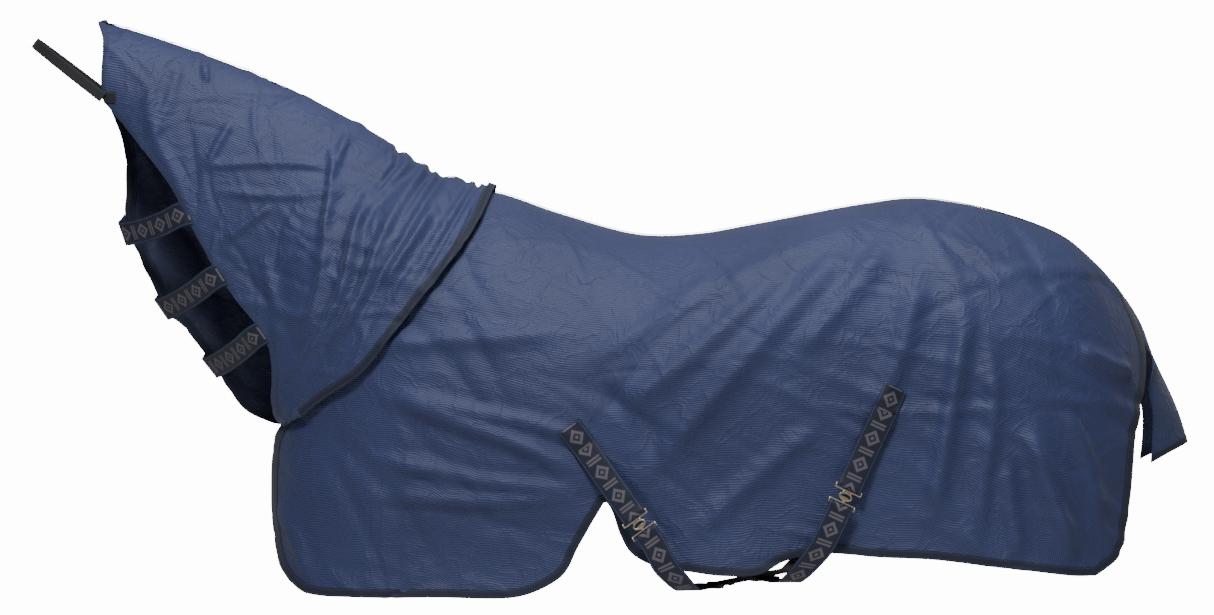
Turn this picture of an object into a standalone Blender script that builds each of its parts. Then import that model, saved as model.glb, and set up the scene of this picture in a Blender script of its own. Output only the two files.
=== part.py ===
"""Full-neck horse rug: cloth panels, bindings, webbing and metal hardware as separate solids.

Frame: +X runs from head to tail, +Z is up, and the near (left) side of the horse is at -Y.
The origin is at the withers, where the rug lies on the back. All sizes are in metres.
"""

import math

import bmesh
import bpy
import numpy as np
from mathutils import Matrix, Vector

# Driving sizes of the cloth
BODY_LENGTH = 1.76      # chest edge to rear edge
BODY_DROP = 0.81        # withers to hem
BODY_WIDTH = 0.66       # across the barrel
NECK_REACH = 0.81       # withers to poll, along X
NECK_RISE = 0.35        # withers to poll, along Z
NECK_WIDTH = 0.26       # across the neck at mid length
CLOTH = 0.003
BINDING_WIDTH = 0.016
BINDING_THICKNESS = 0.0042
TAPE_WIDTH = 0.020
TAPE_THICKNESS = 0.0015

# Webbing and hardware
WEBBING_WIDTH = 0.050
WEBBING = 0.0022
CLIP_PLATE = 0.003      # thickness of the ring and hook plates
CLIP_BAR = 0.0026       # height of the bar that the webbing turns round
CLIP_SLOT = 0.0052
CLIP_SIDE = 0.002       # frame material beside the webbing
RING_LENGTH = 0.018
RING_WIDTH = 0.028
RING_WALL = 0.0035
RING_NECK = 0.016
HOOK_SHANK = 0.006
HOOK_HEAD = 0.016
HOOK_HEAD_HEIGHT = 0.004
SURCINGLE_LENGTH = 0.165
SLIDER_LENGTH = 0.028
SLIDER_WIRE = 0.0034
KEEPER_LENGTH = 0.016
PATCH_LENGTH = 0.045    # reinforcement sewn over a strap's end
PAD = 0.0012            # loop pad under a neck strap's free end
BROW_WEBBING_WIDTH = 0.022
BROW_REACH = 0.192
BROW_TAB_LENGTH = 0.026
TAIL_FLAP_WIDTH = 0.17
TAIL_HEM = 0.014

# Clearances
SPINE_GAP = 0.002       # from each top edge to the middle plane
BINDING_GAP = 0.001     # panel edge to its binding
YOKE_GAP = 0.0018        # between a yoke and its rear binding, where the surface curves most
SEAM_GAP = 0.0015       # yoke to neck panel
COVER_LIFT = 0.010      # neck cover above the body cloth
SEWN_OFFSET = 0.0045    # middle of a sewn webbing above the middle of the cloth
TURN_GAP = 0.0011       # bar to the webbing turned round it
PLATE_GAP = 0.0008      # hook plate to ring plate
HANG_OFFSET = 0.016     # clips stand this far off the cloth
SLIDER_GAP = 0.0009
ANCHOR_GAP = 0.004      # belly strap's end to the webbing sewn above it

# Outlines seen from the side, in hundredths: X of BODY_LENGTH, Z of BODY_DROP
SPINE = [(-3.4, 0.3), (0, 0), (7.6, -5.4), (16.7, -10.6), (23.5, -10.4), (30.3, -7.9), (43.0, -2.8),
         (49.0, -1.5), (57.7, -4.7), (65.7, -11.1), (69.1, -17.0), (71.6, -22.7)]
FRONT = [(-3.4, 0.3), (-12.5, -24.7), (-21.9, -51.9), (-25.0, -61.2), (-25.7, -75.6), (-25.5, -85.2),
         (-24.8, -92.3), (-23.4, -96.5)]
REAR = [(71.6, -22.7), (73.2, -29.6), (74.4, -38.5), (74.3, -45.4), (73.2, -55.6), (72.5, -62.5),
        (71.8, -77.5), (70.3, -89.9), (67.6, -94.2)]
HEM = [(-23.4, -96.5), (-21.3, -99.2), (-14.9, -99.8), (-6.7, -99.5), (2.4, -99.3), (5.2, -97.5),
       (8.0, -93.6), (9.6, -87.0), (11.9, -78.4), (12.7, -75.9), (13.5, -78.4), (14.3, -83.5),
       (15.6, -88.4), (18.4, -91.6), (22.2, -92.8), (25.9, -93.8), (30.0, -93.4), (33.0, -90.1),
       (37.3, -88.4), (43.6, -89.4), (49.3, -89.9), (55.9, -91.6), (61.6, -93.1), (65.0, -94.0),
       (67.6, -94.2)]
# Half width of the body: hundredths of BODY_LENGTH against hundredths of half BODY_WIDTH
BODY_SPREAD = [(-27.9, 0), (-26.6, 5), (-25.7, 17), (-24.6, 30), (-22.5, 47), (-17, 66), (-11, 78), (0, 87), (11, 94),
               (23, 100), (34, 97), (45, 92), (54, 92), (62, 88), (68, 75), (72, 58), (74.4, 44), (77, 36)]
# Depth below the spine at which the cloth hangs straight, in metres
BODY_SHOULDER = [(-30, 0.40), (0, 0.42), (23, 0.31), (45, 0.27), (60, 0.28), (75, 0.30)]
TOP_LINE = [(-36, 9.0), (-12, 3.0)] + SPINE + [(73.2, -27.0), (74.8, -33.0), (77, -46.0)]

# Neck cover seen from the side: X in hundredths of NECK_REACH, Z above the withers in hundredths of
# NECK_RISE and below them in hundredths of BODY_DROP
CREST = [(0, 3.4), (-8.0, 5.2), (-17.0, 13.1), (-28.4, 30.3), (-47.7, 54.3), (-59.3, 67.1), (-69.4, 76.9),
         (-87.2, 91.4), (-100, 100)]
SEAM = [(-28.0, 29.6), (-28.9, -1.5), (-30.4, -9.6), (-33.3, -21.7), (-36.5, -31.6), (-44.0, -47.0),
        (-50.9, -57.6)]
COVER_REAR = [(0, 3.4), (-3.5, -8.1), (-11.1, -19.5), (-21.0, -32.1), (-31.6, -45.2), (-41.0, -51.4),
              (-46.3, -55.7)]
NEAR_FRONT = [(-100, 100), (-98.0, 87), (-98.0, 63), (-97.4, 52)]
NEAR_THROAT = [(-97.4, 52), (-88.4, 27), (-79.3, -0.2), (-75.3, -8.4), (-66.4, -23.5), (-56.0, -37.5),
               (-54.6, -45.5), (-55.0, -51.8), (-54.0, -56.6), (-51.5, -58.3)]
FAR_FRONT = [(-100, 100), (-98.6, 87), (-99.4, 63), (-98.8, 52)]
FAR_THROAT = [(-98.8, 52), (-94.6, 26), (-93.8, 0.0), (-94.0, -5.4), (-88.1, -20.5), (-83.2, -30.4),
              (-78.8, -34.1), (-70.1, -45.9), (-64.4, -54.6), (-58.0, -58.0), (-54.5, -58.9), (-51.5, -58.3)]
# Half width of the neck against the way along the crest, in hundredths of each
NECK_SPREAD = [(0, 150), (23, 130), (45, 100), (68, 82), (98, 58)]
NECK_WRAP = [(0, 90), (23, 93), (45, 95), (78, 95), (90, 74), (100, 62)]   # how far round the far edge reaches
ROUNDING = 6            # how closely the cover turns from neck to shoulders

TAIL_RIDGE = [(71.9, -23.6), (73.0, -26.6), (74.7, -32.6), (76.0, -40.0), (78.5, -52.1), (79.6, -58.3), (80.2, -62.4)]
TAIL_EDGE = [(71.9, -23.8), (73.35, -29.8), (74.6, -38.5), (75.75, -41.9), (75.3, -46.4), (74.9, -50.2), (75.4, -55.4), (75.4, -61.5),
             (75.1, -68.4)]
TAIL_TOP_SHARE = 0.37   # the part of the tail cover that is sewn between the rear edges
HINGE_STAND_OFF = 0.003

# Neck straps: middles of the near and far ends on the cover, as its outlines are given, and their lean
NECK_STRAPS = {
    "top": ((-76.4, -5.6), (-93.5, -9.3), (0.30, -0.95)),
    "middle": ((-68.3, -21.1), (-84.1, -28.3), (0.54, -0.84)),
    "lower": ((-57.7, -35.6), (-72.1, -43.2), (0.60, -0.80)),
}
BROW_TAB = (-97.5, 54)
# Surcingles: sewn end and lean on the near side, then the far side's sewn end and the anchor below it
SURCINGLES = {
    "front": ((10.45, -62.7), (0.59, -0.81), (17.0, -71.5), (17.0, -86.0)),
    "rear": ((43.7, -53.8), (-0.42, -0.907), (39.8, -69.5), (39.8, -86.0)),
}
# Under the belly each strap runs straight between two places: X of BODY_LENGTH, inset from the barrel
BELLY_RUNS = {"front": ((22.4, 35.2), -0.975), "rear": ((32.7, 20.5), -0.957)}
BELLY_INSET = 0.065
CHEST_STRAPS = {"upper": -66.0, "lower": -77.5}
CHEST_STAND_OFF = -0.006  # the clips lie this far ahead of the front edges, or behind them if negative
CHEST_INSIDE = 0.0085      # the sewn ends' middle lies this far inside the cloth's
CHEST_HINGE = 0.0075       # the hinge lies this far past the right front edge, towards the middle
CHEST_HOOK_PAST = 0.004   # the hook's bar stands this far past the middle
NECK_STRAP_BOW = 0.010
SLIDER_PLACE = 0.092      # along the straight run
KEEPER_PLACE = 0.158

NAVY = (0.062, 0.075, 0.150, 1.0)
BINDING_NAVY = (0.030, 0.036, 0.075, 1.0)
WEBBING_NAVY = (0.012, 0.018, 0.045, 1.0)
BLACK = (0.012, 0.012, 0.014, 1.0)
BRASS = (0.55, 0.45, 0.30, 1.0)
PAD_GREY = (0.05, 0.05, 0.055, 1.0)


# ---- Curves and surfaces -------------------------------------------------------------------------

def smooth_curve(points, per_span=24):
    """A centripetal curve through the points."""
    pts = np.asarray(points, float)
    pts = np.vstack([2 * pts[0] - pts[1], pts, 2 * pts[-1] - pts[-2]])
    out = []
    for p0, p1, p2, p3 in zip(pts, pts[1:], pts[2:], pts[3:]):
        t0 = 0.0
        t1 = t0 + math.sqrt(np.linalg.norm(p1 - p0))
        t2 = t1 + math.sqrt(np.linalg.norm(p2 - p1))
        t3 = t2 + math.sqrt(np.linalg.norm(p3 - p2))
        t = np.linspace(t1, t2, per_span, endpoint=False)[:, None]
        a1 = (t1 - t) / (t1 - t0) * p0 + (t - t0) / (t1 - t0) * p1
        a2 = (t2 - t) / (t2 - t1) * p1 + (t - t1) / (t2 - t1) * p2
        a3 = (t3 - t) / (t3 - t2) * p2 + (t - t2) / (t3 - t2) * p3
        b1 = (t2 - t) / (t2 - t0) * a1 + (t - t0) / (t2 - t0) * a2
        b2 = (t3 - t) / (t3 - t1) * a2 + (t - t1) / (t3 - t1) * a3
        out.append((t2 - t) / (t2 - t1) * b1 + (t - t1) / (t2 - t1) * b2)
    out.append(pts[-2][None, :])
    return np.vstack(out)


def reach(curve):
    """Distance along the curve at each of its points."""
    return np.concatenate([[0.0], np.cumsum(np.linalg.norm(np.diff(curve, axis=0), axis=1))])


def at(curve, distances):
    """Points of the curve at these distances along it."""
    far = reach(curve)
    return np.stack([np.interp(distances, far, curve[:, i]) for i in range(curve.shape[1])], axis=1)


def spread(curve, count, bend=0.06, crowd=1.0):
    """Points along the curve, closer together where it bends and, with crowd over 1, at its start."""
    step = np.diff(curve, axis=0)
    length = np.linalg.norm(step, axis=1)
    heading = np.unwrap(np.arctan2(step[:, 1], step[:, 0]))
    turn = np.abs(np.diff(heading, prepend=heading[0]))
    weight = np.concatenate([[0.0], np.cumsum(length + bend * turn)])
    wanted = weight[-1] * np.linspace(0, 1, count) ** crowd
    return at(curve, np.interp(wanted, weight, reach(curve)))


def inset(points, distance):
    """The points of an outline moved to its left side, seen along it, by the distance."""
    ahead = np.gradient(points, axis=0)
    ahead /= np.linalg.norm(ahead, axis=1)[:, None]
    return points + distance * np.stack([-ahead[:, 1], ahead[:, 0]], axis=1)


def body_xz(points):
    return np.asarray(points, float) * (BODY_LENGTH / 100, BODY_DROP / 100)


def cover_xz(points):
    pts = np.asarray(points, float)
    height = np.where(pts[:, 1] > 0, NECK_RISE, BODY_DROP) / 100
    return np.stack([pts[:, 0] * NECK_REACH / 100, pts[:, 1] * height], axis=1)


def table(pairs, x_scale=1.0, y_scale=1.0):
    """A smooth function through the pairs, level beyond its ends."""
    curve = smooth_curve(np.asarray(pairs, float) * (x_scale, y_scale))
    return lambda x: np.interp(x, curve[:, 0], curve[:, 1])


body_spread = table(BODY_SPREAD, BODY_LENGTH / 100, BODY_WIDTH / 200)
body_shoulder = table(BODY_SHOULDER, BODY_LENGTH / 100)
top_line = table(TOP_LINE, BODY_LENGTH / 100, BODY_DROP / 100)

CREST_LENGTH = math.hypot(NECK_REACH, NECK_RISE)
ALONG = np.array([-NECK_REACH, NECK_RISE]) / CREST_LENGTH
BELOW = np.array([-NECK_RISE, -NECK_REACH]) / CREST_LENGTH


def neck_frame(curve):
    """A table of the way below the withers-to-poll line against the way along it."""
    along, below = curve @ ALONG, curve @ BELOW
    order = np.argsort(along)
    return lambda a: np.interp(a, along[order], below[order])


crest_below = neck_frame(smooth_curve(cover_xz(CREST)))
throat_below = neck_frame(smooth_curve(cover_xz(FAR_THROAT)))
neck_spread = table(NECK_SPREAD, CREST_LENGTH / 100, NECK_WIDTH / 200)
neck_wrap = table(NECK_WRAP, CREST_LENGTH / 100, 0.01)


def body_half(x, z, lift=0.0):
    """Distance from the middle plane to the middle of the body cloth."""
    down = np.clip((top_line(x) + lift - z) / body_shoulder(x), 0.0, 1.0)
    return (body_spread(x) + lift) * np.sqrt(down * (2.0 - down)) + SPINE_GAP


def cover_half(x, z, lift=COVER_LIFT):
    """Distance from the middle plane to the middle of the neck cover's cloth."""
    along = x * ALONG[0] + z * ALONG[1]
    below = x * BELOW[0] + z * BELOW[1]
    deep = (throat_below(along) - crest_below(along)) / neck_wrap(along)
    share = np.clip((below - crest_below(along)) / deep, 0.0, 1.0)
    neck = neck_spread(along) * np.sqrt(4.0 * share * (1.0 - share))
    body = body_half(x, z, lift) - SPINE_GAP
    return (neck ** ROUNDING + body ** ROUNDING) ** (1.0 / ROUNDING) + SPINE_GAP


def on_cloth(half, x, z, side, off=0.0):
    """The point of a cloth at (x, z), moved off it along its outward normal. The near side is -1."""
    h = 0.004
    gx = (half(x + h, z) - half(x - h, z)) / (2 * h)
    gz = (half(x, z + h) - half(x, z - h)) / (2 * h)
    normal = np.stack([-gx, np.ones_like(gx), -gz], axis=-1)
    normal /= np.linalg.norm(normal, axis=-1)[..., None]
    point = np.stack([x, half(x, z), z], axis=-1) + off * normal
    point[..., 1] *= side
    return point


def patch(top, bottom, left, right, columns, rows):
    """Coons patch of four outlines given as points; left and right run from the top."""
    u, v = columns[:, None, None], rows[None, :, None]
    across = (1 - v) * top[:, None, :] + v * bottom[:, None, :]
    down = (1 - u) * left[None, :, :] + u * right[None, :, :]
    corners = ((1 - u) * (1 - v) * top[0] + u * (1 - v) * top[-1]
               + (1 - u) * v * bottom[0] + u * v * bottom[-1])
    return across + down - corners


# ---- Objects -------------------------------------------------------------------------------------

def clear_scene():
    for obj in list(bpy.data.objects):
        bpy.data.objects.remove(obj, do_unlink=True)


def material(name, colour, roughness, metallic=0.0):
    made = bpy.data.materials.new(name)
    made.use_nodes = True
    shader = made.node_tree.nodes["Principled BSDF"]
    shader.inputs["Base Color"].default_value = colour
    shader.inputs["Roughness"].default_value = roughness
    shader.inputs["Metallic"].default_value = metallic
    return made


def place(name, mesh, finish, origin=None):
    """Links an object for the mesh, with its origin on its joint where it has one."""
    obj = bpy.data.objects.new(name, mesh)
    mesh.materials.append(material(name, *finish))
    bpy.data.collections["horse_rug"].objects.link(obj)
    if origin is not None:
        mesh.transform(Matrix.Translation(-Vector(origin)))
        obj.location = origin
    return obj


def sheet(name, points, thickness, finish, origin=None):
    """A cloth or webbing whose middle surface is this grid of points, with its thickness."""
    columns, rows = points.shape[:2]
    bm = bmesh.new()
    bmesh.ops.create_grid(bm, x_segments=columns - 1, y_segments=rows - 1, size=0.5)
    for vert in bm.verts:
        i = round((vert.co.x + 0.5) * (columns - 1))
        j = round((vert.co.y + 0.5) * (rows - 1))
        vert.co = points[i, j]
    mesh = bpy.data.meshes.new(name)
    bm.to_mesh(mesh)
    bm.free()
    mesh.shade_smooth()
    obj = place(name, mesh, finish, origin)
    wall = obj.modifiers.new("Thickness", "SOLIDIFY")
    wall.thickness = thickness
    wall.offset = 0.0
    return obj


def ribbon(name, middles, across, width, finish, thickness=WEBBING, origin=None):
    """Webbing along the middles, each with its own direction across."""
    middles, across = np.asarray(middles, float), np.asarray(across, float)
    across = across / np.linalg.norm(across, axis=1)[:, None] * width / 2
    return sheet(name, np.stack([middles - across, middles + across], axis=1), thickness, finish, origin)


CLOTH_FINISH = (NAVY, 0.75)
BINDING_FINISH = (BINDING_NAVY, 0.8)
WEBBING_FINISH = (WEBBING_NAVY, 0.7)
BLACK_FINISH = (BLACK, 0.7)
BRASS_FINISH = (BRASS, 0.28, 1.0)
PAD_FINISH = (PAD_GREY, 0.95)


# ---- Body ----------------------------------------------------------------------------------------

BODY_COLUMNS = 33
BODY_ROWS = 14
SPINE_CROWD = 1.6       # rows stand closer where the cloth turns over the spine


def body_outlines():
    """Front, hem and rear outlines of the body at the grid's samples, and how far in its panel ends."""
    front = spread(smooth_curve(body_xz(FRONT)), BODY_ROWS, crowd=SPINE_CROWD)
    hem = spread(smooth_curve(body_xz(HEM)), BODY_COLUMNS)
    rear = spread(smooth_curve(body_xz(REAR)), BODY_ROWS, crowd=SPINE_CROWD)
    return front, hem, rear


def along_spine(x):
    return np.stack([x, top_line(x)], axis=1)


def inset_body(distance):
    """The body's outline inside its edge: front, hem and rear, which meet at the lower corners."""
    front, hem, rear = body_outlines()
    loop = np.vstack([front, hem[1:], rear[::-1][1:]])
    inner = inset(loop, distance)
    first, last = front[0, 0] + distance, rear[0, 0] - distance * 0.7
    inner[0], inner[-1] = along_spine(np.array([first, last]))
    rows, columns = len(front), len(hem)
    return inner[:rows], inner[rows - 1:rows + columns - 1], inner[rows + columns - 2:][::-1]


def spine_samples(hem):
    """The way along the spine for each column, in proportion to its place on the hem."""
    return (hem[:, 0] - hem[0, 0]) / (hem[-1, 0] - hem[0, 0])


def build_body():
    front, hem, rear = inset_body(BINDING_WIDTH + BINDING_GAP)
    columns = spine_samples(hem)
    rows = reach(rear) / reach(rear)[-1]
    top_x = front[0, 0] + columns * (rear[0, 0] - front[0, 0])
    grid = patch(along_spine(top_x), hem, front, rear, columns, rows)
    outer = np.vstack([part[cut] for part, cut in zip(
        body_outlines(), (slice(None), slice(1, None), slice(-2, None, -1)))])
    inner = np.vstack([part[cut] for part, cut in zip(
        inset_body(BINDING_WIDTH), (slice(None), slice(1, None), slice(-2, None, -1)))])
    band = np.stack([outer, inner], axis=1)
    for side, hand in ((-1, "left"), (1, "right")):
        sheet(f"body_{hand}_panel", on_cloth(body_half, grid[..., 0], grid[..., 1], side), CLOTH, CLOTH_FINISH)
        sheet(f"body_{hand}_binding", on_cloth(body_half, band[..., 0], band[..., 1], side),
              BINDING_THICKNESS, BINDING_FINISH)
    lift = CLOTH / 2 + TAPE_THICKNESS / 2 + 2 * BINDING_GAP
    spine = np.stack([top_x, 0 * top_x, top_line(top_x) + lift], axis=1)
    ribbon("spine_tape", spine, np.tile([0, 1, 0], (len(spine), 1)), TAPE_WIDTH, BINDING_FINISH,
           TAPE_THICKNESS)


# ---- Neck cover ----------------------------------------------------------------------------------

COVER_ROWS = 11


def split_crest():
    """The crest from the poll to the seam, and from the seam to the withers."""
    crest = smooth_curve(cover_xz(CREST))[::-1]
    seam_x = cover_xz(SEAM)[0, 0]
    cut = np.interp(seam_x, crest[:, 0], reach(crest))
    total = reach(crest)[-1]
    return at(crest, np.linspace(0, cut, 60)), at(crest, np.linspace(cut, total, 40))


def corner_reach(line, edge, distance):
    """How far along the line from its start an outline inset from the edge by the distance meets it."""
    ahead, down = line[3] - line[0], edge[1] - edge[0]
    turn = abs(ahead[0] * down[1] - ahead[1] * down[0]) / np.linalg.norm(ahead) / np.linalg.norm(down)
    return distance / turn


def end_on(line, edge, distance):
    """The point where that inset outline starts on the line."""
    return at(line, np.array([corner_reach(line, edge, distance)]))[0]


def build_yoke():
    """The gathered part between the seam and the rear edge, which stays with the body."""
    crest = split_crest()[1]
    seam = spread(smooth_curve(cover_xz(SEAM)), COVER_ROWS, crowd=1.3)
    rear_edge = spread(smooth_curve(cover_xz(COVER_REAR)), COVER_ROWS, crowd=1.3)
    rows = reach(seam) / reach(seam)[-1]
    columns = np.linspace(0, 1, 8)
    back = crest[::-1]
    inside = BINDING_WIDTH + YOKE_GAP
    rear_in = inset(rear_edge[::-1], inside)[::-1]
    rear_in[0] = end_on(back, rear_edge, inside)
    far_end = reach(crest)[-1] - corner_reach(back, rear_edge, inside)
    top = at(crest, np.linspace(SEAM_GAP, far_end, len(columns)))
    seam_in = seam + (SEAM_GAP, 0)
    seam_in[0] = top[0]
    bottom = seam_in[-1] + np.linspace(0, 1, len(columns))[:, None] * (rear_in[-1] - seam_in[-1])
    grid = patch(top, bottom, seam_in, rear_in, columns, rows)
    band_in = inset(rear_edge[::-1], BINDING_WIDTH)[::-1]
    band_in[0] = end_on(back, rear_edge, BINDING_WIDTH)
    band = np.stack([band_in, rear_edge], axis=1)
    for side, hand in ((-1, "left"), (1, "right")):
        sheet(f"neck_yoke_{hand}", on_cloth(cover_half, grid[..., 0], grid[..., 1], side), CLOTH, CLOTH_FINISH)
        sheet(f"yoke_binding_{hand}", on_cloth(cover_half, band[..., 0], band[..., 1], side),
              BINDING_THICKNESS, BINDING_FINISH)
    crest_strip("crest_elastic", at(crest, np.linspace(0.01, reach(crest)[-1] - 0.02, 12)), None)


def crest_strip(name, line, origin):
    """A tape that lies over the crest's seam."""
    lift = CLOTH / 2 + TAPE_THICKNESS / 2 + 2 * BINDING_GAP
    middles = np.stack([line[:, 0], 0 * line[:, 0], line[:, 1] + lift], axis=1)
    ribbon(name, middles, np.tile([0, 1, 0], (len(line), 1)), TAPE_WIDTH, BINDING_FINISH, TAPE_THICKNESS, origin)


def neck_pivot():
    """The neck tilts about the lower end of the seam."""
    low = cover_xz(SEAM)[-1]
    return (low[0] - 0.006, 0.0, low[1] - 0.022)


def build_neck():
    """The part ahead of the seam, which tilts with the neck."""
    crest = split_crest()[0]
    pivot = neck_pivot()
    for side, hand, front_edge, throat_edge in ((-1, "left", NEAR_FRONT, NEAR_THROAT), (1, "right", FAR_FRONT, FAR_THROAT)):
        front = spread(smooth_curve(cover_xz(front_edge)), COVER_ROWS)
        throat = spread(smooth_curve(cover_xz(throat_edge)), 22)
        moving_seam = smooth_curve(cover_xz(SEAM)) - (SEAM_GAP, 0)
        columns = reach(throat) / reach(throat)[-1]
        loop = np.vstack([front, throat[1:]])

        def inner(distance):
            moved = inset(loop, distance)
            moved[0] = end_on(crest, loop, distance)
            moved[-1] = end_on(moving_seam[::-1], throat[::-1], distance)
            return moved[:len(front)], moved[len(front) - 1:]

        front_in, throat_in = inner(BINDING_WIDTH + BINDING_GAP)
        start = corner_reach(crest, loop, BINDING_WIDTH + BINDING_GAP)
        top = at(crest, start + columns * (reach(crest)[-1] - SEAM_GAP - start))
        low = np.argmin(np.linalg.norm(moving_seam - throat_in[-1], axis=1))
        seam_in = spread(moving_seam[:low], COVER_ROWS, crowd=1.3)
        seam_in[0], seam_in[-1] = top[-1], throat_in[-1]
        rows = reach(seam_in) / reach(seam_in)[-1]
        grid = patch(top, throat_in, front_in, seam_in, columns, rows)
        sheet(f"neck_{hand}_panel", on_cloth(cover_half, grid[..., 0], grid[..., 1], side), CLOTH,
              CLOTH_FINISH, pivot)
        band_in = np.vstack([part[cut] for part, cut in zip(inner(BINDING_WIDTH), (slice(None), slice(1, None)))])
        band = np.stack([loop, band_in], axis=1)
        sheet(f"neck_binding_{hand}", on_cloth(cover_half, band[..., 0], band[..., 1], side),
              BINDING_THICKNESS, BINDING_FINISH, pivot)
    crest_strip("crest_tape", at(crest, np.linspace(0.034, reach(crest)[-1] - 0.012, 22)), pivot)


# ---- Tail cover ----------------------------------------------------------------------------------

def tail_points(shares, across):
    """Middle surface of the tail cover: a gutter between its ridge and its two side edges."""
    ridge, edge = smooth_curve(body_xz(TAIL_RIDGE)), smooth_curve(body_xz(TAIL_EDGE))
    ridge = at(ridge, shares * reach(ridge)[-1])[:, None, :]
    edge = at(edge, shares * reach(edge)[-1])[:, None, :]
    side = np.sqrt(1 - across ** 2)[None, :, None]
    line = edge + (ridge - edge) * side
    width = np.minimum(body_half(edge[..., 0], edge[..., 1]), TAIL_FLAP_WIDTH / 2)
    return np.stack([line[..., 0], width * across[None, :], line[..., 1]], axis=-1)


def build_tail():
    across = np.sin(np.linspace(-90, 90, 11) * math.pi / 180) * 0.99
    tail_length = reach(smooth_curve(body_xz(TAIL_RIDGE)))[-1]
    gap = 1.5 * CLOTH / tail_length
    hem = TAIL_HEM / tail_length
    sheet("tail_top_panel", tail_points(np.linspace(0.10, TAIL_TOP_SHARE - gap, 7), across), CLOTH, CLOTH_FINISH)
    ridge = smooth_curve(body_xz(TAIL_RIDGE))
    hinge = at(ridge, np.array([TAIL_TOP_SHARE * tail_length]))[0]
    axis = (hinge[0] + HINGE_STAND_OFF, 0.0, hinge[1])
    flap_gap = BINDING_GAP / tail_length
    sheet("tail_flap", tail_points(np.linspace(TAIL_TOP_SHARE, 1 - hem - flap_gap, 9), across), CLOTH,
          CLOTH_FINISH, axis)
    sheet("tail_flap_binding", tail_points(np.linspace(1 - hem, 1, 3), across), BINDING_THICKNESS,
          BINDING_FINISH, axis)


# ---- Clips: a ring plate and a hook plate, each with a slot that webbing turns through --------------

FRAME_WIDTH = WEBBING_WIDTH + 2 * (0.001 + CLIP_SIDE)
FRAME_HEIGHT = 2 * CLIP_BAR + CLIP_SLOT
RING_MIDDLE = FRAME_HEIGHT + 0.001 + RING_LENGTH / 2
HOOK_REACH = 0.0105     # hook head's top to its frame
CHAIN = RING_MIDDLE + RING_LENGTH / 2 + 0.002 + FRAME_HEIGHT    # from the ring's bar to the hook's bar


class Frame:
    """Local axes of a clip: across the webbing, away from its end, and outwards."""

    def __init__(self, origin, away, outward):
        self.origin = np.asarray(origin, float)
        self.away = np.asarray(away, float) / np.linalg.norm(away)
        outward = np.asarray(outward, float)
        outward = outward - outward @ self.away * self.away
        self.outward = outward / np.linalg.norm(outward)
        self.across = np.cross(self.away, self.outward)

    def world(self, across, away, outward):
        return self.origin + across * self.across + away * self.away + outward * self.outward

    def facing(self, away, outward, turned=True):
        """The frame of a clip that faces this one."""
        return Frame(self.world(0, away, outward), -self.away if turned else self.away, self.outward)


def rounded(half_width, low, high, radius, steps=3):
    """Outline of a rounded bar."""
    out = []
    for cx, cy, start in ((half_width - radius, high - radius, 0), (radius - half_width, high - radius, 90),
                          (radius - half_width, low + radius, 180), (half_width - radius, low + radius, 270)):
        for step in range(steps + 1):
            angle = math.radians(start + 90 * step / steps)
            out.append((cx + radius * math.cos(angle), cy + radius * math.sin(angle)))
    return out


def ellipse(middle, half_width, half_height, count, start=0.0, end=360.0, closed=True):
    angles = np.radians(np.linspace(start, end, count, endpoint=not closed))
    return [(half_width * math.cos(a), middle + half_height * math.sin(a)) for a in angles]


def frame_outline(neck):
    """Right-hand side of the slotted frame, from its bar to the neck below it."""
    half, radius = FRAME_WIDTH / 2, 0.0015
    return [(half - radius, 0), (half, radius), (half, FRAME_HEIGHT - radius), (half - radius, FRAME_HEIGHT),
            (neck + 0.002, FRAME_HEIGHT), (neck, FRAME_HEIGHT + 0.001)]


def mirrored(half):
    return half + [(-x, y) for x, y in reversed(half)]


def plate(name, outlines, frame, origin=None, depth=CLIP_PLATE, finish=BRASS_FINISH):
    """A plate cut to the outlines, the first outside and the others holes."""
    curve = bpy.data.curves.new(name, "CURVE")
    curve.dimensions = "2D"
    curve.fill_mode = "BOTH"
    curve.extrude = depth / 2
    for outline in outlines:
        spline = curve.splines.new("POLY")
        spline.points.add(len(outline) - 1)
        for point, (x, y) in zip(spline.points, outline):
            point.co = (x, y, 0.0, 1.0)
        spline.use_cyclic_u = True
    drawn = bpy.data.objects.new(name + "_outline", curve)
    bpy.context.scene.collection.objects.link(drawn)
    mesh = bpy.data.meshes.new_from_object(drawn.evaluated_get(bpy.context.evaluated_depsgraph_get()))
    bpy.data.objects.remove(drawn, do_unlink=True)
    bm = bmesh.new()
    bm.from_mesh(mesh)
    bmesh.ops.remove_doubles(bm, verts=bm.verts, dist=1e-6)
    for vert in bm.verts:
        vert.co = frame.world(*vert.co)
    bmesh.ops.recalc_face_normals(bm, faces=bm.faces)
    if bm.calc_volume(signed=True) < 0:
        bmesh.ops.reverse_faces(bm, faces=bm.faces)
    bm.to_mesh(mesh)
    bm.free()
    mesh.name = name
    return place(name, mesh, finish, origin)


def slot_outline():
    return rounded(FRAME_WIDTH / 2 - CLIP_SIDE, CLIP_BAR, CLIP_BAR + CLIP_SLOT, 0.001)


def ring_plate(name, frame, origin=None):
    """Slotted frame with an oval ring for the hook."""
    neck = RING_NECK / 2
    outer_half = RING_WIDTH / 2
    start = -math.degrees(math.acos(neck / outer_half))
    ring = ellipse(RING_MIDDLE, outer_half, RING_LENGTH / 2, 9, start, 90, closed=False)
    outer = mirrored(frame_outline(neck)[:-1] + ring)
    hole = ellipse(RING_MIDDLE, outer_half - RING_WALL, RING_LENGTH / 2 - RING_WALL, 16)
    return plate(name, [outer, slot_outline(), hole], frame, origin)


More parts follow.
